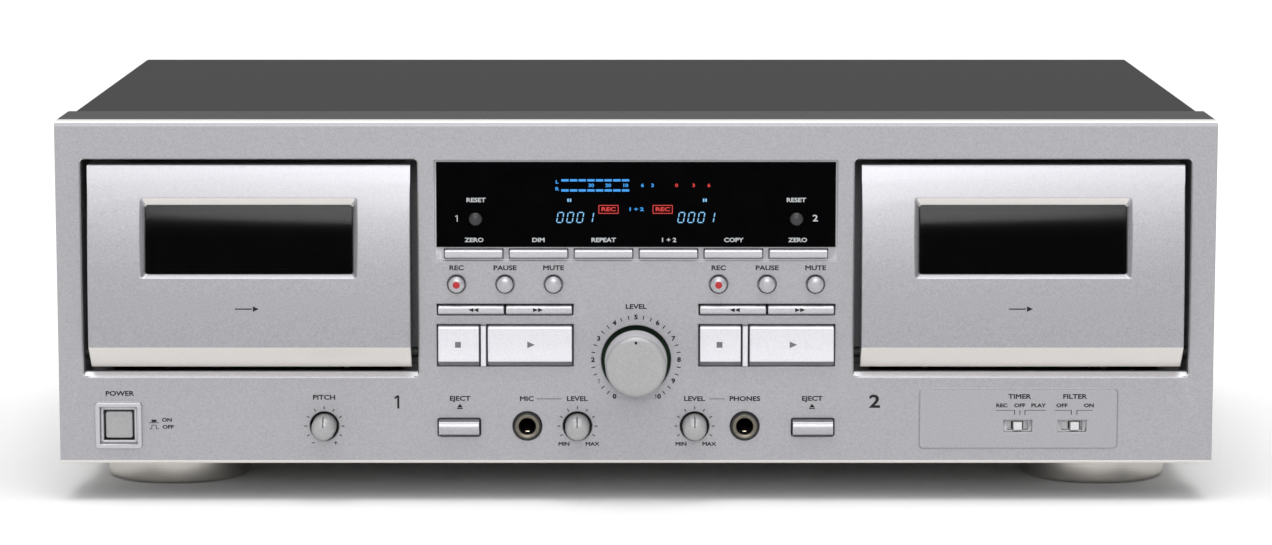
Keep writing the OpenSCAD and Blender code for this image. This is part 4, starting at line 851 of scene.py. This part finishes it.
# the raised switch plate's signs
plate = {"d": -0.4, "words": (("TIMER", 144.6, 40.3, "label"), ("REC", 137.9, 36.9, "small"),
                              ("OFF", 144.7, 36.9, "small"), ("PLAY", 151.7, 36.9, "small"),
                              ("FILTER", 165.4, 40.3, "label"), ("OFF", 160.6, 36.9, "small"),
                              ("ON", 170.8, 36.9, "small")),
         "tickX": (142.8, 144.8, 146.7, 164.2, 166.3), "tickZ": 34.25, "tick": (0.3, 1.7),
         "lines": ((139.2, 7.2), (150.7, 8.0), (161.1, 6.2), (169.3, 6.0)), "lineZ": 35.1, "lineHigh": 0.18}
ink += [words(text, x, z, prints[size], plate["d"]) for text, x, z, size in plate["words"]]
ink += [bar(x, plate["tickZ"], *plate["tick"], 0, plate["d"]) for x in plate["tickX"]]
ink += [bar(x, plate["lineZ"], w, plate["lineHigh"], 0, plate["d"]) for x, w in plate["lines"]]

# the level dial's numbers and ticks, with the two figures of its 10 set apart, and the small knobs' ticks
dial = {"from": -150, "step": 30, "last": 10, "radius": 16.2, "ten": (-0.75, 0.6), "stretch": 1.15,
        "weight": 0.1, "ticksEach": 3, "tickRadius": 16.3, "tickLong": 1.5}
for i in range(dial["last"] + 1):
    a = math.radians(dial["from"] + dial["step"] * i)
    x, z = dial["radius"] * math.sin(a), levelKnob["z"] + dial["radius"] * math.cos(a)
    oneAside, zeroAside = dial["ten"] if i == dial["last"] else (0.0, 0.0)
    if i in (1, dial["last"]):
        ink += flaggedOne(x + oneAside, z, prints["dial"])
    if i != 1:
        ink.append(words(str(i)[-1], x + zeroAside, z, prints["dial"], stretch=dial["stretch"],
                         weight=dial["weight"]))
betweenNumbers = [dial["from"] + dial["step"] / dial["ticksEach"] * i
                  for i in range(dial["last"] * dial["ticksEach"]) if i % dial["ticksEach"]]
ink += fanTicks(0, levelKnob["z"], dial["tickRadius"], dial["tickLong"], prints["tick"], betweenNumbers)
smallDial = {"from": -120, "step": 30, "count": 9, "radius": 7.0, "long": 1.1}
smallTicks = [smallDial["from"] + smallDial["step"] * i for i in range(smallDial["count"])]
for x in smallKnob["x"].values():
    ink += fanTicks(x, smallKnob["z"], smallDial["radius"], smallDial["long"], prints["tick"], smallTicks)

# bars as x, z, width and height
panelBars = ((-32.9, 39.4, 9.6, 0.2), (30.6, 39.4, 6.0, 0.2),  # from a jack's word to its knob's
             (-121.8, 22.6, 1.3, 0.3), (-113.4, 22.6, 1.3, 0.3), (-113.4, 22.6, 0.3, 1.3),  # minus and plus
             (-181.9, 30.3, 3.6, 0.25), (-181.9, 31.0, 1.9, 0.9),  # power on, pressed in
             (-183.2, 28.0, 1.0, 0.25), (-180.6, 28.0, 1.0, 0.25), (-181.9, 29.35, 1.9, 0.25),
             (-182.75, 28.7, 0.25, 1.4), (-181.05, 28.7, 0.25, 1.4))  # power off, standing out
ink += [bar(*row) for row in panelBars]
ejectMark = {"x": (-66.4, 66.4), "triangle": (36.6, 2.5, 1.9), "line": (35.7, 2.2, 0.4)}
for x in ejectMark["x"]:
    ink += [bar(x, *ejectMark["triangle"], sides=3), bar(x, *ejectMark["line"])]
dress(joined("panelInk", [coat(mark, darkInk) for mark in ink]), None, "case", "dark_plastic")

# display: black lens with pale labels
display = {"edge": 0.3, "d": 0.4, "label": 1.6, "labelZ": 99.7,
           "labels": (("ZERO", -60.7), ("DIM", -36.6), ("REPEAT", -12.2), ("1 + 2", 12.2), ("COPY", 36.6),
                      ("ZERO", 60.7)),
           "resetX": 60.0, "resetZ": 114.8, "deck": 2.5, "deckX": 67.2, "deckZ": 107.9}
glass = softCopy("display_lens", "displayLens", display["edge"])
dress(glass, displayAcrylic, "case", "smoked_acrylic", "display_lens")
pale = [words(text, x, display["labelZ"], display["label"], display["d"]) for text, x in display["labels"]]
for s in (-1, 1):
    pale.append(words("RESET", s * display["resetX"], display["resetZ"], display["label"], display["d"]))
    number = (s * display["deckX"], display["deckZ"], display["deck"], display["d"])
    pale += flaggedOne(*number) if s < 0 else [words("2", *number)]
dress(joined("displayLabels", [coat(p, paleInk) for p in pale]), None, "case", "white_plastic")

# level meter: two rows of lit bars with a scale between them; blue signs have a third value, their rise
meter = {"barZ": (122.3, 118.5), "barX": -26.6, "pitch": 3.24, "count": 8, "bar": (2.75, 0.85),
         "z": 120.35, "height": 1.25, "red": (("0", 15.2), ("3", 21.6), ("6", 27.3)),
         "blue": (("30", -16.8, 0.0), ("20", -10.4, 0.0), ("10", -4.0, 0.0), ("6", 2.4, 0.0), ("3", 6.2, 0.0),
                  ("L", -29.6, 1.3), ("R", -29.6, -1.3))}
blue, white, red = [], [], []
for z in meter["barZ"]:
    blue += [bar(meter["barX"] + meter["pitch"] * i, z, *meter["bar"], 0, display["d"])
             for i in range(meter["count"])]
blue += [words(text, x, meter["z"] + up, meter["height"], display["d"]) for text, x, up in meter["blue"]]
red += [words(text, x, meter["z"], meter["height"], display["d"]) for text, x in meter["red"]]

# signs for pause, for record in a frame and for both decks
lamps = {"pauseX": (-25.0, 25.8), "pauseZ": 114.8, "pause": (0.55, 1.2), "pauseApart": 0.45,
         "recordX": (-10.3, 10.0), "z": 111.35, "record": 1.5, "both": 1.3, "stretch": 1.5,
         "frameHalf": (3.62, 1.5), "frameLevel": (7.5, 0.28), "frameUpright": (0.28, 3.2)}
for x in lamps["pauseX"]:
    white += [bar(x + s * lamps["pauseApart"], lamps["pauseZ"], *lamps["pause"], 0, display["d"])
              for s in (-1, 1)]
halfWide, halfHigh = lamps["frameHalf"]
for x in lamps["recordX"]:
    red += [bar(x, lamps["z"] + s * halfHigh, *lamps["frameLevel"], 0, display["d"]) for s in (1, -1)]
    red += [bar(x + s * halfWide, lamps["z"], *lamps["frameUpright"], 0, display["d"]) for s in (-1, 1)]
    red.append(words("REC", x, lamps["z"], lamps["record"], display["d"], lamps["stretch"]))
blue.append(words("1 + 2", 0.0, lamps["z"], lamps["both"], display["d"], lamps["stretch"]))

# tape counters of slanted segments
counter = {"x": {1: -22.8, 2: 22.6}, "z": 108.3, "shows": "0001", "wide": 2.1, "tall": 3.8, "pitch": 3.74,
           "slant": 10.0, "stroke": 0.36, "levelGap": 0.6, "uprightGap": 0.4}
lit = {"0": "abcdef", "1": "bc"}
halfWide, halfTall = counter["wide"] / 2, counter["tall"] / 2
segments = {"a": (0, halfTall), "b": (halfWide, halfTall / 2), "c": (halfWide, -halfTall / 2),
            "d": (0, -halfTall), "e": (-halfWide, -halfTall / 2), "f": (-halfWide, halfTall / 2)}
lean = math.tan(math.radians(counter["slant"]))
for k in decks:
    for i, digit in enumerate(counter["shows"]):
        middle = counter["x"][k] + (i - (len(counter["shows"]) - 1) / 2) * counter["pitch"]
        for key in lit[digit]:
            sx, sz = segments[key]
            size, turn = (counter["stroke"], halfTall - counter["uprightGap"]), counter["slant"]
            if key in "ad":
                size, turn = (counter["wide"] - counter["levelGap"], counter["stroke"]), 0
            white.append(bar(middle + sx + sz * lean, counter["z"] + sz, *size, turn, display["d"]))
for name, marks, glow in (("displaySegments", white, whiteGlow), ("displayScale", blue, blueGlow),
                          ("displayWarnings", red, redGlow)):
    dress(joined(name, [coat(mark, glow) for mark in marks]), None, "case", "smoked_acrylic")
print("prints and display made")

# white paper floor, in metres, with its grain in mm
stage = {"size": 40.0, "drop": 0.0002, "paper": "#f8f8f8", "grain": 3.0}
deselect()
bpy.ops.mesh.primitive_plane_add(size=stage["size"], location=(0, 0, -stage["drop"]))
floor = bpy.context.object
floor.name = "paperFloor"
floorPaper = mottle("whitePaperFloor", stage["paper"], stage["paper"], stage["grain"],
                    Roughness=0.9, Specular_IOR_Level=0.0)
coat(floor, floorPaper)

# a studio that is dim in front at eye level, and bright overhead and behind, as heights and strengths
studio = {"dim": (0.0, 0.2), "bright": (0.5, 0.62), "behindLift": 0.5}
world = bpy.data.worlds.new("studioWorld")
bpy.context.scene.world = world
world.use_nodes = True
tree = world.node_tree
way = addNode(tree, "TexCoord")
split = addNode(tree, "SeparateXYZ", {"Vector": way.outputs["Generated"]})
behind = addNode(tree, "Math", {0: split.outputs["Y"], 1: 0.0}, operation="MAXIMUM")
lift = addNode(tree, "Math", {
    0: behind.outputs[0], 1: studio["behindLift"], 2: split.outputs["Z"]}, operation="MULTIPLY_ADD")
level = addNode(tree, "MapRange", {
    "Value": lift.outputs[0], "From Min": studio["dim"][0], "From Max": studio["bright"][0],
    "To Min": studio["dim"][1], "To Max": studio["bright"][1]}, interpolation_type="SMOOTHSTEP")
tree.nodes["Background"].inputs["Color"].default_value = (1, 1, 1, 1)
tree.links.new(level.outputs[0], tree.nodes["Background"].inputs["Strength"])

# strength, spread, height and turn to the left, in degrees
suns = {"softbox": (0.35, 60, 55, 0), "overhead": (1.25, 40, 76, 0), "lowStrip": (0.7, 15, 18, 0),
        "highStrip": (0.2, 30, 34, 0), "sideStrip": (0.1, 12, 8, 50)}
for name, (strength, spread, height, aside) in suns.items():
    light = bpy.data.lights.new(name, "SUN")
    light.energy, light.angle = strength, math.radians(spread)
    holder = bpy.data.objects.new(name, light)
    holder.rotation_euler = (math.radians(90 - height), 0, math.radians(-aside))
    bpy.context.scene.collection.objects.link(holder)

# camera: its spot in metres, its tilt in degrees, its lens and sensor in mm
shot = {"spot": (0, -1.63274, 0.29772), "tilt": 7.943, "lens": 114.665, "sensor": 36.0, "clip": (0.05, 50.0)}
lens = bpy.data.cameras.new("studioCamera")
lens.sensor_width, lens.lens = shot["sensor"], shot["lens"]
lens.clip_start, lens.clip_end = shot["clip"]
camera = bpy.data.objects.new("studioCamera", lens)
camera.location = shot["spot"]
camera.rotation_euler = (math.radians(90 - shot["tilt"]), 0, 0)
bpy.context.scene.collection.objects.link(camera)
bpy.context.scene.camera = camera
bpy.context.scene.view_settings.view_transform = "Standard"
print("stage made")
